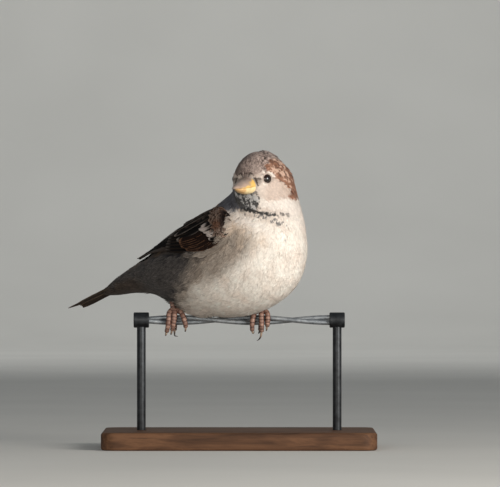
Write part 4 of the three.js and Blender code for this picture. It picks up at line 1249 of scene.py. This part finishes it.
# %% Mantle vanes
def body_vanes(ring, turn, length, width, lift, palette, seed):
    """Vanes on the body: the centre line is stepped tail-wards along the surface, rising from
    below it at the root to lift above it at the tip."""
    draw = np.random.default_rng(seed)
    count = len(ring)
    along = np.linalg.norm(body_slopes(ring, turn)[0], axis=-1)
    s = vane_s[None]
    rings = np.clip(ring[:, None] + (length / along)[:, None] * s, 0.01, LAST_RING - 0.01)
    turns = turn[:, None] + draw.normal(0, 0.02, (count, 1)) * s
    normal = body_slopes(rings, turns)[2]
    line = body_point(rings, turns) + normal * (
        -1.2 + (1.2 + lift[:, None]) * smooth(s, -0.2, 0.9))[..., None]
    sideways = unit(np.cross(normal, unit(np.gradient(line, axis=1))))
    centre, edge = np.array(palette)[draw.integers(0, len(palette), count)].swapaxes(0, 1)
    points, colours, _ = vane_group(line, normal, sideways, width, SMALL_CUT,
                                    (centre, edge, edge, 0.55, 0.55, 0.16), seed)
    return points, colours, length


ring, turn = spread_roots(4.6, 9.6, lambda ring: 1.9, 520)
keep = np.abs(turn) < np.interp(ring, [4.6, 6, 9.6], [0.95, 0.80, 0.7])
ring, turn = ring[keep], turn[keep]
MANTLE_PALETTE = ((tint("1f1815"), tint("9c8268")), (DARKER, tint("84705d")),
                  (tint("5f4c3f"), tint("9a8571")))
mantle = body_vanes(ring, turn, np.interp(ring, [4.6, 9.6], [5.0, 8.5]),
                    np.interp(ring, [4.6, 9.6], [3.0, 4.2]),
                    0.10 * rng.normal(size=len(ring)) - 0.25, MANTLE_PALETTE, 521)
join_vanes("mantle_feathers", [mantle], "plumage_body")

# %% [markdown]
# ## Flank feathers over the edge of the wing
# A resting bird tucks the lower edge of its wing under the long feathers of breast and flank.
# They are fans like the rest of the coat, rooted just below the wing's edge and laid along it,
# and they ask the skin's markings at the nearest place of the body.

# %% Edge of the wing
grid_ring, grid_turn = (x.ravel() for x in np.meshgrid(
    np.linspace(4, 13, 90), np.linspace(-np.pi, np.pi, 160), indexing="ij"))
body_grid = body_point(grid_ring, grid_turn)


def nearest_on_body(points):
    """Number of the nearest point of the body's grid, for each of some points."""
    return ((points[:, None] - body_grid[None]) ** 2).sum(-1).argmin(axis=1)


def edge_fans(side, count, seed):
    """Centre lines and normals of fans along the lower edge of the wing, the body grid's point
    nearest to each root, and how much painted shade it takes: dark grey under the wing's edge, more
    so towards the rear."""
    draw = np.random.default_rng(seed)
    a, b = sown(count, (0.04, 0.34), (-0.09, -0.02))
    s = STATIONS[None]
    run = draw.uniform(0.10, 0.15, count)[:, None]
    rise = draw.uniform(-0.03, 0.05, count)[:, None]
    point, out, _ = wing_frame(a[:, None] + run * s, b[:, None] + rise * s, side)
    tip = draw.uniform(-0.1, 0.7, count)[:, None]
    line = point + out * (-1.2 + (1.2 + tip) * smooth(s, -0.2, 0.9))[..., None]
    under_wing_shade = smooth(a, 0.05, 0.13) * smooth(b + rise[:, 0], -0.07, -0.02)
    return line, out, nearest_on_body(line[:, 0]), under_wing_shade


def wing_border(q, side):
    """Point q millimetres along the wing's border, down its front and back along its lower
    edge, with the outward normal and the way in over the wing."""
    a, b = np.interp(q, (6.3, 12, 22), (0, 0.143, 0.286)), np.interp(q, (0, 6.3), (0.95, 0))
    point, out, _ = wing_frame(a, b, side)
    return point, out, unit(wing_frame(a + 0.03, 0.9 * b + 0.12, side)[0] - point)


def front_fans(side, count, seed):
    """The same for the front of the wing: curves of the second degree from the body beside
    the border, by a point over it, to a tip laid a millimetre in over the wing."""
    draw = np.random.default_rng(seed)
    q = draw.uniform(-1.0, 13.0, count)
    border, out, inward = wing_border(q, side)
    middle = border + 1.0 * out - 0.3 * inward
    border, tip_out, inward = wing_border(q + 3, side)
    tip = (border + draw.uniform(0.2, 1.8, count)[:, None] * inward
           + draw.uniform(1.0, 1.5, count)[:, None] * tip_out)
    border, _, inward = wing_border(q - 3, side)
    nearest = nearest_on_body(border - draw.uniform(0.6, 3.0, count)[:, None] * inward)
    under = body_slopes(grid_ring[nearest], grid_turn[nearest])[2]
    root = body_grid[nearest] - 0.8 * under
    s = np.broadcast_to(STATIONS, (count, 4))
    line = mix(mix(root[:, None], middle[:, None], s), mix(middle[:, None], tip[:, None], s), s)
    return line, unit(mix(under[:, None], tip_out[:, None], s)), nearest, np.zeros(count)


for word, side in SIDES.items():
    line, out, nearest, under_wing_shade = (np.concatenate(pair) for pair in zip(
        edge_fans(side, 240, 530), front_fans(side, 170, 533)))
    ring, turn = grid_ring[nearest], grid_turn[nearest]
    draw = np.random.default_rng(531)
    fans = fan_blades(line, out, draw.uniform(1.8, 2.6, len(line)), 10, draw)
    # Painted shade under the wing's lower edge: dark grey fans, about a quarter of them lighter slate
    # grey.
    tone = np.where(draw.uniform(size=(len(line), 1)) < 0.28, tint("7b7775"), tint("322f2f"))
    colours = [mix(shade, tone, 0.8 * under_wing_shade) for shade in
               markings(ring, turn, draw.uniform(size=len(line)))]
    join_fans("coat_over_wing_" + word, fans, colours, unwrap(ring, turn, 4, 13),
              "plumage_body", 532)

# %% [markdown]
# ## Bill
# A sparrow's bill is a short deep cone in two halves. The ridge of the upper half is strongly
# arched, the underside is nearly straight, and the cutting edges dip near the gape. Each half
# is a stack of half ellipses standing on the cutting edge, the lower one a shade narrower so
# that the upper closes over it. The horn is dusky on the ridge and yellow at the gape, and
# that colour is painted by place into an attribute.

# %% Bill halves
BILL_BASE_F, BILL_TIP_F, LOWER_TIP_F = 11.0, 26.9, 25.6
CULMEN_U, TOMIUM_U, CHIN_U, TIP_U = 65.9, 61.0, 56.7, 59.2
BILL_HALF, BILL_TAPER = 5.7, 1.1


def bill_half(upper):
    """Points of one half: t from inside the head to the tip, and an angle from one cutting
    edge over the ridge to the other, then back across a flat inner face."""
    rows, columns = 46, 30
    t, turn = np.meshgrid(np.linspace(0, 1, rows) ** 0.9 * 0.996,
                          np.linspace(0, np.pi, columns), indexing="ij")
    tip_f = BILL_TIP_F if upper else LOWER_TIP_F
    reach = (CULMEN_U if upper else CHIN_U) - TOMIUM_U
    edge = TOMIUM_U + (TIP_U - TOMIUM_U) * t - 0.5 * np.sin(np.pi * t) ** 2
    edge = edge + (0.0 if upper else 0.14)
    height = reach * (1 - t ** (1.75 if upper else 1.25))
    half = BILL_HALF * (1 - t ** BILL_TAPER) + (0.25 if upper else 0.12)
    across = half * np.sign(np.cos(turn)) * np.abs(np.cos(turn)) ** (1.04 if upper else 0.95)
    up = np.sin(turn) ** (0.86 if upper else 0.8)
    f = BILL_BASE_F + (tip_f - BILL_BASE_F) * t
    nostril = np.exp(-((f - 16.0) / 0.55) ** 2 - ((up - 0.80) / 0.10) ** 2) if upper else 0
    swell = 1 - 0.10 * nostril
    outer = vectors(f, across * swell, edge + up * height * swell)
    inner_x = np.linspace(-1, 1, columns)[None, 1:-1] * half[:, :1] * 0.97
    hollow = 0.06 * np.sign(reach) * (1 - inner_x ** 2 / 25)
    inner = vectors(f[:, :1], inner_x, edge[:, :1] + hollow)
    points = np.concatenate([outer, inner], axis=1)
    ridge = np.concatenate([up, 0 * inner_x], axis=1)
    along = np.broadcast_to(t[:, :1], ridge.shape)
    return points, along, ridge


HORN, HORN_DARK, HORN_PINK = tint("9d8b80"), tint("65584f"), tint("ac9382")
YELLOW, YELLOW_PALE, HORN_TIP = tint("e8bd66"), tint("f0d9a4"), tint("8f8177")
TAN = tint("d7ac74")
for word, upper in (("upper", True), ("lower", False)):
    points, along, ridge = bill_half(upper)
    drift = 0.10 * waves(points, 3.0, 31)
    if upper:
        colour = mix(HORN_PINK, HORN, smooth(ridge + drift, 0.45, 0.85))
        dusk = smooth(ridge + drift, 0.8, 1.0) * (1 - smooth(along, 0.3, 0.6))
        colour = mix(colour, HORN_DARK, 0.6 * dusk)
        gape = 1 - smooth(ridge + 1.6 * (along - 0.27) + drift, 0.46, 0.80)
        colour = mix(colour, YELLOW, gape)
    else:
        colour = mix(YELLOW_PALE, TAN, smooth(along + drift, 0.38, 0.66))
        colour = mix(colour, HORN_PINK, smooth(along + drift, 0.80, 1.0))
    colour = mix(colour, HORN_TIP, smooth(along, 0.86, 1.0))
    tip = [points[-1, :, 0].max() + 0.06, 0, points[-1, :, 2].mean()]
    cone = closed_points(points, points[0].mean(axis=0), tip)
    finish = painted_finish("horn_" + word, (350.0, 5.0), (0.86, 1.12),
                            {"Roughness": 0.38, "Coat Weight": 0.15},
                            MIDDLE, (0.3, 0.00008), (1400.0, 4.0))
    add_piece("bill_" + word + "_horn", from_head(cone), closed_faces(*along.shape, flip=upper),
              finish, "bill", replaces=("bill_" + word,),
              colours=closed_points(colour, colour[0, 0], colour[-1, 0]))

# %% [markdown]
# ## Eyes and lids
# The eye is a dark ball, near black, set so that only a disc under four millimetres shows.
# What makes it look alive is the bulging clear front that catches the lamp, and the lids: a
# fine dark rim with a ring of scale-like skin. The ball is a sphere with a low dome added
# about its axis, and the lids are one ring of skin swept round it.

# %% Eyeballs
EYE_AXIS = (0.47, 0.88, 0.05)    # ahead, aside and up: a sparrow's eyes look half forward


def eye_axes(side):
    """Centre of the ball, its outward axis and two cross axes (forward, up) in the scene."""
    flip = (1, side, 1)
    centre = from_head(np.multiply(EYE_CENTRE, flip))
    out = unit(direction(from_head, np.multiply(EYE_AXIS, flip)))
    ahead = direction(from_head, [1.0, 0.0, 0.0])
    ahead = unit(ahead - out * (ahead @ out))
    return centre, out, ahead, np.cross(out, ahead) * side


def swept_ring(axes, profile, columns, squash):
    """Surface of revolution about the eye's axis: profile gives radius and height along the
    axis; squash makes the ring a little lower than wide, and flatter above than below."""
    centre, out, ahead, up = axes
    turn = np.linspace(0, 2 * np.pi, columns, endpoint=False)
    radius, height = profile[:, :1], profile[:, 1:2]
    tall = 1 - squash * (0.6 + 0.4 * np.sin(turn))
    return (centre + out * height[..., None] + ahead * (radius * np.cos(turn))[..., None]
            + up * (radius * np.sin(turn) * tall)[..., None])


eye_finish = painted_finish("dark_eye", (2500.0, 3.0), (0.7, 1.3), {
    "Roughness": 0.05, "Coat Weight": 0.6, "Coat Roughness": 0.02, "Specular IOR Level": 0.5})
lid_finish = soft_finish("lid_skin", 0.2, roughness=0.6)
PUPIL, IRIS, EYE_WHITE = tint("060505"), tint("2c170d"), tint("3a2c26")
LID_RIM, LID = tint("1c1716"), tint("b5a69b")
BALL_ROWS, BALL_COLUMNS, LID_COLUMNS, LID_BEADS = 40, 48, 64, 21

# radius and height along the axis: over the rim and the beaded ring, then down inside the coat
LID_PROFILE = np.array([[1.66, 1.70], [1.74, 1.88], [1.84, 1.90], [1.95, 1.84], [2.04, 1.86],
                        [2.16, 1.96], [2.30, 2.02], [2.48, 2.02], [2.72, 1.92], [2.85, 1.30],
                        [2.40, 0.80], [1.90, 1.20]])


def round_colours(colour, columns):
    """The same colours at every column of a ring."""
    return np.repeat(colour[:, None], columns, axis=1).reshape(-1, 3)


for word, side in (("left", 1), ("right", -1)):
    axes = eye_axes(side)
    lat = np.linspace(0.02, np.pi - 0.02, BALL_ROWS)
    ball = EYE_RADIUS + 0.12 * np.exp(-(lat / 0.6) ** 2)
    sphere = swept_ring(axes, vectors(ball * np.sin(lat), ball * np.cos(lat)), BALL_COLUMNS, 0.0)
    colour = mix(mix(PUPIL, IRIS, smooth(lat, 0.40, 0.46)), EYE_WHITE, smooth(lat, 0.85, 0.95))
    tip, back = axes[0] + axes[1] * ball[0], axes[0] - axes[1] * EYE_RADIUS
    add_piece("eyeball_" + word, closed_points(sphere, tip, back),
              closed_faces(BALL_ROWS, BALL_COLUMNS, flip=side > 0), eye_finish, "eye",
              replaces=("eye_" + word,),
              colours=closed_points(round_colours(colour, BALL_COLUMNS), colour[0], colour[-1]))
    lids = swept_ring(axes, LID_PROFILE, LID_COLUMNS, 0.05)
    beads = 0.035 * np.cos(np.linspace(0, 2 * np.pi, LID_COLUMNS, endpoint=False) * LID_BEADS)
    lids[2:7] = lids[2:7] + axes[1] * beads[None, :, None]
    colour = mix(LID_RIM, LID, smooth(LID_PROFILE[:, 0], 1.98, 2.12))
    quads = grid_faces(len(LID_PROFILE) + 1, LID_COLUMNS, wrap=True)
    quads = (quads % (len(LID_PROFILE) * LID_COLUMNS))[:, ::-side]
    add_piece("eyelids_" + word, lids.reshape(-1, 3), [quads], lid_finish, "plumage_head",
              colours=round_colours(colour, LID_COLUMNS))

# %% [markdown]
# ## Feet
# The bare leg is a thin shaft with a row of broad plates, and each toe is ringed by smaller
# ones. Plates are modelled as swellings of a tube: the radius rises and falls once for each
# plate, more on the upper side than below. The hind toe comes round the wire from behind.
# Claws are curved cones flattened from side to side, pale at the base and dark at the tip.

# %% Leg, toe and claw lines
LEGS = {"right": ((-20.2, 1.6, 14.0), (-19.6, 0.6, 9.0), (-18.8, -0.2, 4.9)),
        "left": ((20.6, 1.8, 13.0), (20.7, 0.8, 9.0), (20.7, -0.2, 5.1))}
TOES = {
    "right": (
        (((-18.7, 1.9, 4.4), (-18.5, 3.5, 2.4), (-18.4, 4.0, -0.4), (-18.4, 3.0, -3.2),
          (-18.4, 1.3, -4.5)),
         ((-18.4, 0.9, -4.7), (-18.4, -0.6, -5.8), (-18.2, -1.5, -7.1), (-16.7, -1.8, -7.4))),
        (((-17.6, -0.9, 4.6), (-15.4, -2.6, 3.4), (-14.2, -3.9, 1.0), (-13.5, -4.1, -1.4),
          (-13.3, -3.2, -3.2)),
         ((-13.3, -2.9, -3.5), (-13.5, -1.5, -4.9), (-13.9, -0.1, -5.1))),
        (((-18.6, -1.4, 4.7), (-18.4, -3.6, 2.6), (-18.6, -4.3, 0.0), (-19.0, -4.0, -2.6),
          (-19.5, -3.0, -4.6)),
         ((-19.6, -2.7, -5.0), (-20.0, -1.1, -6.3), (-20.3, 0.3, -6.2))),
        (((-19.6, -0.9, 4.5), (-20.8, -3.1, 3.0), (-21.0, -4.1, 0.4), (-21.3, -4.1, -2.6),
          (-22.0, -3.1, -5.4)),
         ((-22.1, -2.7, -5.8), (-22.4, -1.0, -6.8), (-22.4, 0.4, -6.4)))),
    "left": (
        (((20.9, 1.9, 4.5), (21.0, 3.5, 2.4), (21.0, 4.0, -0.4), (20.8, 3.0, -3.2),
          (20.5, 1.4, -4.5)),
         ((20.4, 1.0, -4.7), (20.0, -0.6, -5.7), (19.5, -1.9, -6.0))),
        (((19.8, -0.9, 4.7), (17.9, -2.9, 3.2), (17.2, -4.1, 0.8), (16.9, -4.3, -2.0),
          (16.9, -3.4, -4.8)),
         ((17.0, -3.0, -5.1), (17.4, -1.4, -5.9), (18.0, -0.2, -5.2))),
        (((20.8, -1.4, 4.8), (21.0, -3.7, 2.8), (21.1, -4.4, 0.2), (21.2, -4.3, -2.6),
          (21.2, -3.6, -5.2)),
         ((21.1, -3.4, -5.5), (20.7, -2.7, -7.6), (19.9, -2.5, -8.8), (18.9, -2.3, -9.4))),
        (((21.8, -0.9, 4.7), (23.6, -2.9, 3.2), (24.0, -4.0, 0.8), (23.9, -4.0, -1.2),
          (23.7, -3.3, -2.8)),
         ((23.6, -3.0, -3.2), (23.4, -1.5, -4.5), (23.2, -0.2, -4.8)))),
}


def tube(line, rows, columns, radius, flat=1.0):
    """Closed tube along a smooth line in the grip's frame. radius is a function of the way
    along (0 to 1) and of the angle round (0 to the front), and flat narrows it sideways."""
    s = np.linspace(0, 1, rows)
    path = along_rows(line, s) + (PERCH_X, 0, PERCH_HEIGHT)
    tangent = unit(np.gradient(path, axis=0))
    sideways = unit((1, 0, 0) - tangent * tangent[:, :1])
    front = np.cross(tangent, sideways)
    turn = np.linspace(0, 2 * np.pi, columns, endpoint=False)
    reach = radius(s[:, None], turn[None])
    rings = (path[:, None] + front[:, None] * (reach * np.cos(turn))[..., None]
             + sideways[:, None] * (flat * reach * np.sin(turn))[..., None])
    points = closed_points(rings, path[0] - tangent[0] * 0.2,
                           path[-1] + tangent[-1] * 0.5 * reach[-1].mean())
    shade_s = np.concatenate([[0], np.repeat(s, columns), [1]])
    shade_turn = np.concatenate([[0], np.tile(turn, rows), [0]])
    return points, closed_faces(rows, columns), shade_s, shade_turn


def plates(number, depth):
    """Swelling for each plate: the height of a half sine, steep at the seams, stronger on
    the front of the toe than on its sole."""
    return lambda s, turn: depth * (np.abs(np.sin(np.pi * number * s)) ** 0.5 - 0.6) * (
        0.55 + 0.45 * np.cos(turn))


SHANK, SHANK_DARK, SHANK_PALE = tint("6e4b3f"), tint("2f211c"), tint("ae8a79")
CLAW_DARK, CLAW_PALE = tint("2b2321"), tint("a38c79")
SHANK_PLATES, TOE_PLATES = 7, (6, 6, 8, 7)
SHANK_GRID, TOE_GRID, CLAW_GRID = (70, 22), (72, 20), (30, 14)     # rows and columns


def scaly(s, turn, number, tail):
    """Colour of plated skin: pale on the middle of each plate, darker in the seams, which run
    a little aslant, and on the sole side, and duskier towards the tail end. No two plates in
    a row are equally pale."""
    along = number * s + 0.07 * np.sin(turn + 2.0 * number)
    seam = 1 - smooth(np.abs(np.sin(np.pi * along)), 0.05, 0.60)
    own = 0.5 + 0.5 * np.sin(2.6 * np.floor(along) + number)
    colour = mix(SHANK, SHANK_PALE, (0.35 + 0.5 * own) * (1 - seam) ** 2
                 * smooth(np.cos(turn), 0.2, 1.0))
    colour = mix(colour, SHANK_DARK, (0.35 + 0.25 * own) * seam * smooth(np.cos(turn), -0.6, 0.2))
    colour = mix(colour, SHANK_DARK, 0.35 * smooth(-np.cos(turn), 0.0, 0.9))
    return mix(colour, SHANK_DARK, tail * smooth(s, 0.7, 1.0))


plate_finish = painted_finish("plated_skin", (1100.0, 4.0), (0.70, 1.2), {"Roughness": 0.5},
                              MIDDLE, (0.5, 0.00008))
claw_finish = painted_finish("claw_horn", (900.0, 3.0), (0.8, 1.2),
                             {"Roughness": 0.32, "Coat Weight": 0.3})

# %% Legs, toes and claws
for word in ("right", "left"):
    scale = plates(SHANK_PLATES, 0.16)
    points, faces, s, turn = tube(LEGS[word], *SHANK_GRID,
                                  lambda s, t: 1.22 + 0.20 * s ** 3 + scale(s, t))
    add_piece("shank_" + word, points, faces, plate_finish, "leg_scales",
              replaces=("leg_" + word,), colours=scaly(s, turn, SHANK_PLATES, 0.0))
    for k, (toe_line, claw_line) in enumerate(TOES[word]):
        scale = plates(TOE_PLATES[k], 0.22)
        points, faces, s, turn = tube(
            toe_line, *TOE_GRID,
            lambda s, t: 1.30 - 0.32 * s + 0.10 * np.cos(9.4 * s) * (np.cos(t) < 0) + scale(s, t))
        add_piece(f"toe_{word}_{k + 1}_plated", points, faces, plate_finish, "leg_scales",
                  replaces=(f"toe_{word}_{k + 1}",), colours=scaly(s, turn, TOE_PLATES[k], 0.4))
        points, faces, s, turn = tube(claw_line, *CLAW_GRID,
                                      lambda s, t: 0.66 * (1 - s ** 1.4) + 0.05 + 0 * t, 0.72)
        colour = mix(CLAW_PALE, CLAW_DARK, smooth(s, 0.08, 0.5))
        add_piece(f"claw_{word}_{k + 1}_horn", points, faces, claw_finish, "claw",
                  replaces=(f"claw_{word}_{k + 1}",), colours=colour)

# %% [markdown]
# ## Perch wire
# The perch is a cut length of galvanised fence wire: two strands laid round each other, once
# in seventy millimetres. Each strand is a round tube whose centre runs on a long helix. Zinc
# weathers to a dull blue-grey with darker blotches and stays brighter where it is rubbed, so
# the metal is rough and uneven.

# %% Wire strands
STRAND_RADIUS, STRAND_OFFSET = 1.1, 1.1592     # offset of each centre from the wire's own
LAY, LAY_FRONT_X, WIRE_HALF = 70.0, 24.3, 44.0
STRAND_ROWS, STRAND_COLUMNS = 180, 28
material, output = new_material("weathered_zinc")
blotch = noise_over(material, 260.0, 6.0, Roughness=0.65)
draw_lines = noise_over(material, 1.0, 3.0, (60.0, 900.0, 900.0))
zinc_finish = finish_with(material, output, {
    "Base Color": ramp(material, blotch, (0.30, "5f6367"), (0.50, "8d9398"), (0.72, "b4b9bc")),
    "Metallic": 0.65, "Roughness": mapped(material, draw_lines, 0.36, 0.62),
    "Normal": bumped(material, draw_lines, 0.35, 0.00012)})
for letter, phase in (("a", 0.0), ("b", np.pi)):
    x = np.linspace(-WIRE_HALF, WIRE_HALF, STRAND_ROWS)
    turn = 2 * np.pi * (x - LAY_FRONT_X) / LAY + phase
    path = vectors(x, -STRAND_OFFSET * np.cos(turn), PERCH_HEIGHT - STRAND_OFFSET * np.sin(turn))
    tangent = unit(np.gradient(path, axis=0))
    up = unit((0, 0, 1) - tangent * tangent[:, 2:])
    aside = np.cross(tangent, up)
    round_it = np.linspace(0, 2 * np.pi, STRAND_COLUMNS, endpoint=False)[:, None]
    rings = path[:, None] + STRAND_RADIUS * (up[:, None] * np.cos(round_it)
                                             + aside[:, None] * np.sin(round_it))
    add_piece("wire_strand_" + letter, closed_points(rings, path[0], path[-1]),
              closed_faces(STRAND_ROWS, STRAND_COLUMNS), zinc_finish, "galvanised_wire",
              replaces=("perch_strand_" + letter,))

# %% [markdown]
# ## Display stand
# A plain museum stand: a dark oiled wooden base, two blackened steel rods and two collars
# that take the cut ends of the wire. The turned parts are profiles swept round an axis, with
# a small rounded edge everywhere, since a perfectly sharp edge never catches light.

# %% Turned steel
def turned(profile, axis, centre, columns=40):
    """Solid of revolution: profile rows are (distance along the axis, radius)."""
    profile = np.asarray(profile, float)
    turn = np.linspace(0, 2 * np.pi, columns, endpoint=False)
    first = {"x": (0, 1, 2), "z": (2, 0, 1)}[axis]
    rings = np.empty((len(profile), columns, 3))
    rings[..., first[0]] = profile[:, :1]
    rings[..., first[1]] = profile[:, 1:] * np.cos(turn)
    rings[..., first[2]] = profile[:, 1:] * np.sin(turn)
    ends = np.zeros((2, 3))
    ends[:, first[0]] = profile[[0, -1], 0]
    return closed_points(rings, *ends) + centre, closed_faces(len(profile), columns, flip=True)


def rounded_bar(low, high, radius, edge):
    """Profile of a cylinder whose two rims are quarter circles of radius edge."""
    corner = np.linspace(0, np.pi / 2, 7)
    inset, out = edge * (1 - np.cos(corner)), radius - edge * (1 - np.sin(corner))
    return np.concatenate([vectors(low + inset, out), vectors(high - inset, out)[::-1]])


material, output = new_material("blackened_steel")
noise = noise_over(material, 420.0, 5.0)
steel_finish = finish_with(material, output, {
    "Base Color": ramp(material, noise, (0.3, "26282a"), (0.7, "3d4043")), "Metallic": 0.7,
    "Roughness": mapped(material, noise, 0.34, 0.5),
    "Normal": bumped(material, noise, 0.15, 0.0001)})
BASE_HEIGHT, ROD_RADIUS, CLIP_X, CLIP_RADIUS, CLIP_HALF = 8.0, 2.0, 44.5, 3.5, 3.5
rod = rounded_bar(BASE_HEIGHT - 0.5, PERCH_HEIGHT - CLIP_RADIUS + 0.6, ROD_RADIUS, 0.4)
collar = rounded_bar(-CLIP_HALF, CLIP_HALF, CLIP_RADIUS, 0.5)
for word, x in (("left", -CLIP_X), ("right", CLIP_X)):
    add_piece("rod_" + word, *turned(rod, "z", (x, 0, 0)), steel_finish, "stand_metal",
              replaces=("stand_rod_" + word,))
    add_piece("collar_" + word, *turned(collar, "x", (x, 0, PERCH_HEIGHT)), steel_finish,
              "stand_metal", replaces=("stand_clip_" + word,))

# %% Wooden base
def rounded_plate(length, depth, height, corner, edge):
    """Plate with round corners and softened rims: the outline is a rounded rectangle, and
    the rings step in along a quarter circle at the bottom and top edges."""
    quarter = np.linspace(0, np.pi / 2, 9)
    around = np.concatenate([quarter + k * np.pi / 2 for k in range(4)])
    hand = np.repeat([[1, 1], [-1, 1], [-1, -1], [1, -1]], len(quarter), axis=0)
    hub = hand * (np.array([length, depth]) / 2 - corner)
    ray = vectors(np.cos(around), np.sin(around))
    bend = np.linspace(0, np.pi / 2, 6)
    inset = np.concatenate([edge * (1 - np.sin(bend)), edge * (1 - np.cos(bend))])
    level = np.concatenate([edge * (1 - np.cos(bend)), height - edge * (1 - np.sin(bend))])
    outline = hub[None] + ray[None] * (corner - inset)[:, None, None]
    rings = np.concatenate([outline, np.broadcast_to(level[:, None, None],
                                                     outline.shape[:2] + (1,))], axis=-1)
    return closed_points(rings, [0, 0, 0], [0, 0, height]), closed_faces(len(level), len(around))


material, output = new_material("oiled_walnut")
grain = noise_over(material, 3.0, 7.0, (9.0, 70.0, 70.0), Roughness=0.62, Distortion=0.6)
pores = noise_over(material, 1.0, 2.0, (60.0, 1400.0, 1400.0))
wood = ramp(material, grain, (0.28, "3b281c"), (0.48, "5b3f2c"), (0.60, "6d4d36"), (0.76, "4b3323"))
wood_finish = finish_with(material, output, {
    "Base Color": toned(material, wood, mapped(material, pores, 0.72, 1.0, (0.30, 0.48))),
    "Roughness": 0.65, "Normal": bumped(material, pores, 0.2, 0.00015),
    "Specular IOR Level": 0.2})
base = rounded_plate(length=124.0, depth=84.0, height=BASE_HEIGHT, corner=7.0, edge=1.2)
add_piece("wooden_base", *base, wood_finish, "base_wood", replaces=("stand_base",))

# %% [markdown]
# ## Floor, light and camera
# The model stands on a plain pale floor that curves up into a backdrop, far enough behind to
# leave room for looking at the bird's back. A soft lamp low on the camera's right gives the
# form its shade, as low sun does. A much weaker warm one low on the left stands for light
# thrown back by the ground, a third lights the backdrop, and an even bluish sky fills in. The
# camera is far off with a long lens, level with the bird, as when one watches it through a
# telescope.

# %% Stage
FRAME_CENTRE = (4.9, 92.8)       # middle of the picture, across and up, in millimetres
FRAME_WIDTH = 227.3              # what the picture takes in at the perch
CAMERA_AWAY = 2600.0

stage_finish, stage_output = new_material("pale_paper")
paper = ramp(stage_finish, noise_over(stage_finish, 6.0), (0.3, "d9d8d2"), (0.7, "dfded8"))
finish_with(stage_finish, stage_output, {"Base Color": paper, "Roughness": 0.9})
sweep = np.linspace(0, np.pi / 2, 24)
cove = np.concatenate([[[-4000.0, 0.0]], vectors(
    2500 + 900 * np.sin(sweep), 900 - 900 * np.cos(sweep)), [[3400.0, 4000.0]]])
across = np.linspace(-4000, 4000, 3)
cove_points = vectors(across[None, :], cove[:, None, 0], cove[:, None, 1]).reshape(-1, 3)
stage_mesh = bpy.data.meshes.new("floor_and_backdrop")
stage_mesh.from_pydata((cove_points * MM).tolist(), [], grid_faces(len(cove), 3).tolist())
stage_mesh.shade_smooth()
stage_mesh.materials.append(stage_finish)
stage = placed("floor_and_backdrop", stage_mesh)

# %% Lamps and sky
def add_lamp(name, place, aim, size, power, colour):
    """Square soft lamp at a place, turned to face aim; metres and watts."""
    light = bpy.data.lights.new(name, "AREA")
    light.size, light.energy, light.color = size, power, colour
    lamp = placed(name, light)
    lamp.location = place
    way = np.subtract(place, aim)
    lamp.rotation_euler = (np.arctan2(np.hypot(way[0], way[1]), way[2]), 0,
                           np.arctan2(way[0], -way[1]))


AIM = (0.0, 0.0, 0.09)
add_lamp("key", (0.98, -1.08, 0.38), AIM, 0.75, 21.5, (1.0, 0.955, 0.90))
add_lamp("bounce", (-0.30, -1.15, 0.22), AIM, 0.40, 2.6, (1.0, 0.93, 0.84))
add_lamp("backdrop", (0.0, 1.95, 1.3), (0.0, 3.4, 0.5), 1.2, 8.0, (1.0, 1.0, 1.0))
world = bpy.data.worlds.new("sky")
world.use_nodes = True
sky = world.node_tree.nodes["Background"].inputs
sky["Color"].default_value = (0.87, 0.93, 1.0, 1.0)
sky["Strength"].default_value = 0.21
bpy.context.scene.world = world

# %% Camera
lens = bpy.data.cameras.new("camera")
lens.sensor_width = 36.0
lens.lens = 36.0 * CAMERA_AWAY / FRAME_WIDTH
lens.clip_end = 20.0
camera = placed("camera", lens)
camera.location = (FRAME_CENTRE[0] * MM, -CAMERA_AWAY * MM, FRAME_CENTRE[1] * MM)
camera.rotation_euler = (np.pi / 2, 0, 0)
bpy.context.scene.camera = camera
bpy.context.scene.view_settings.view_transform = "Standard"
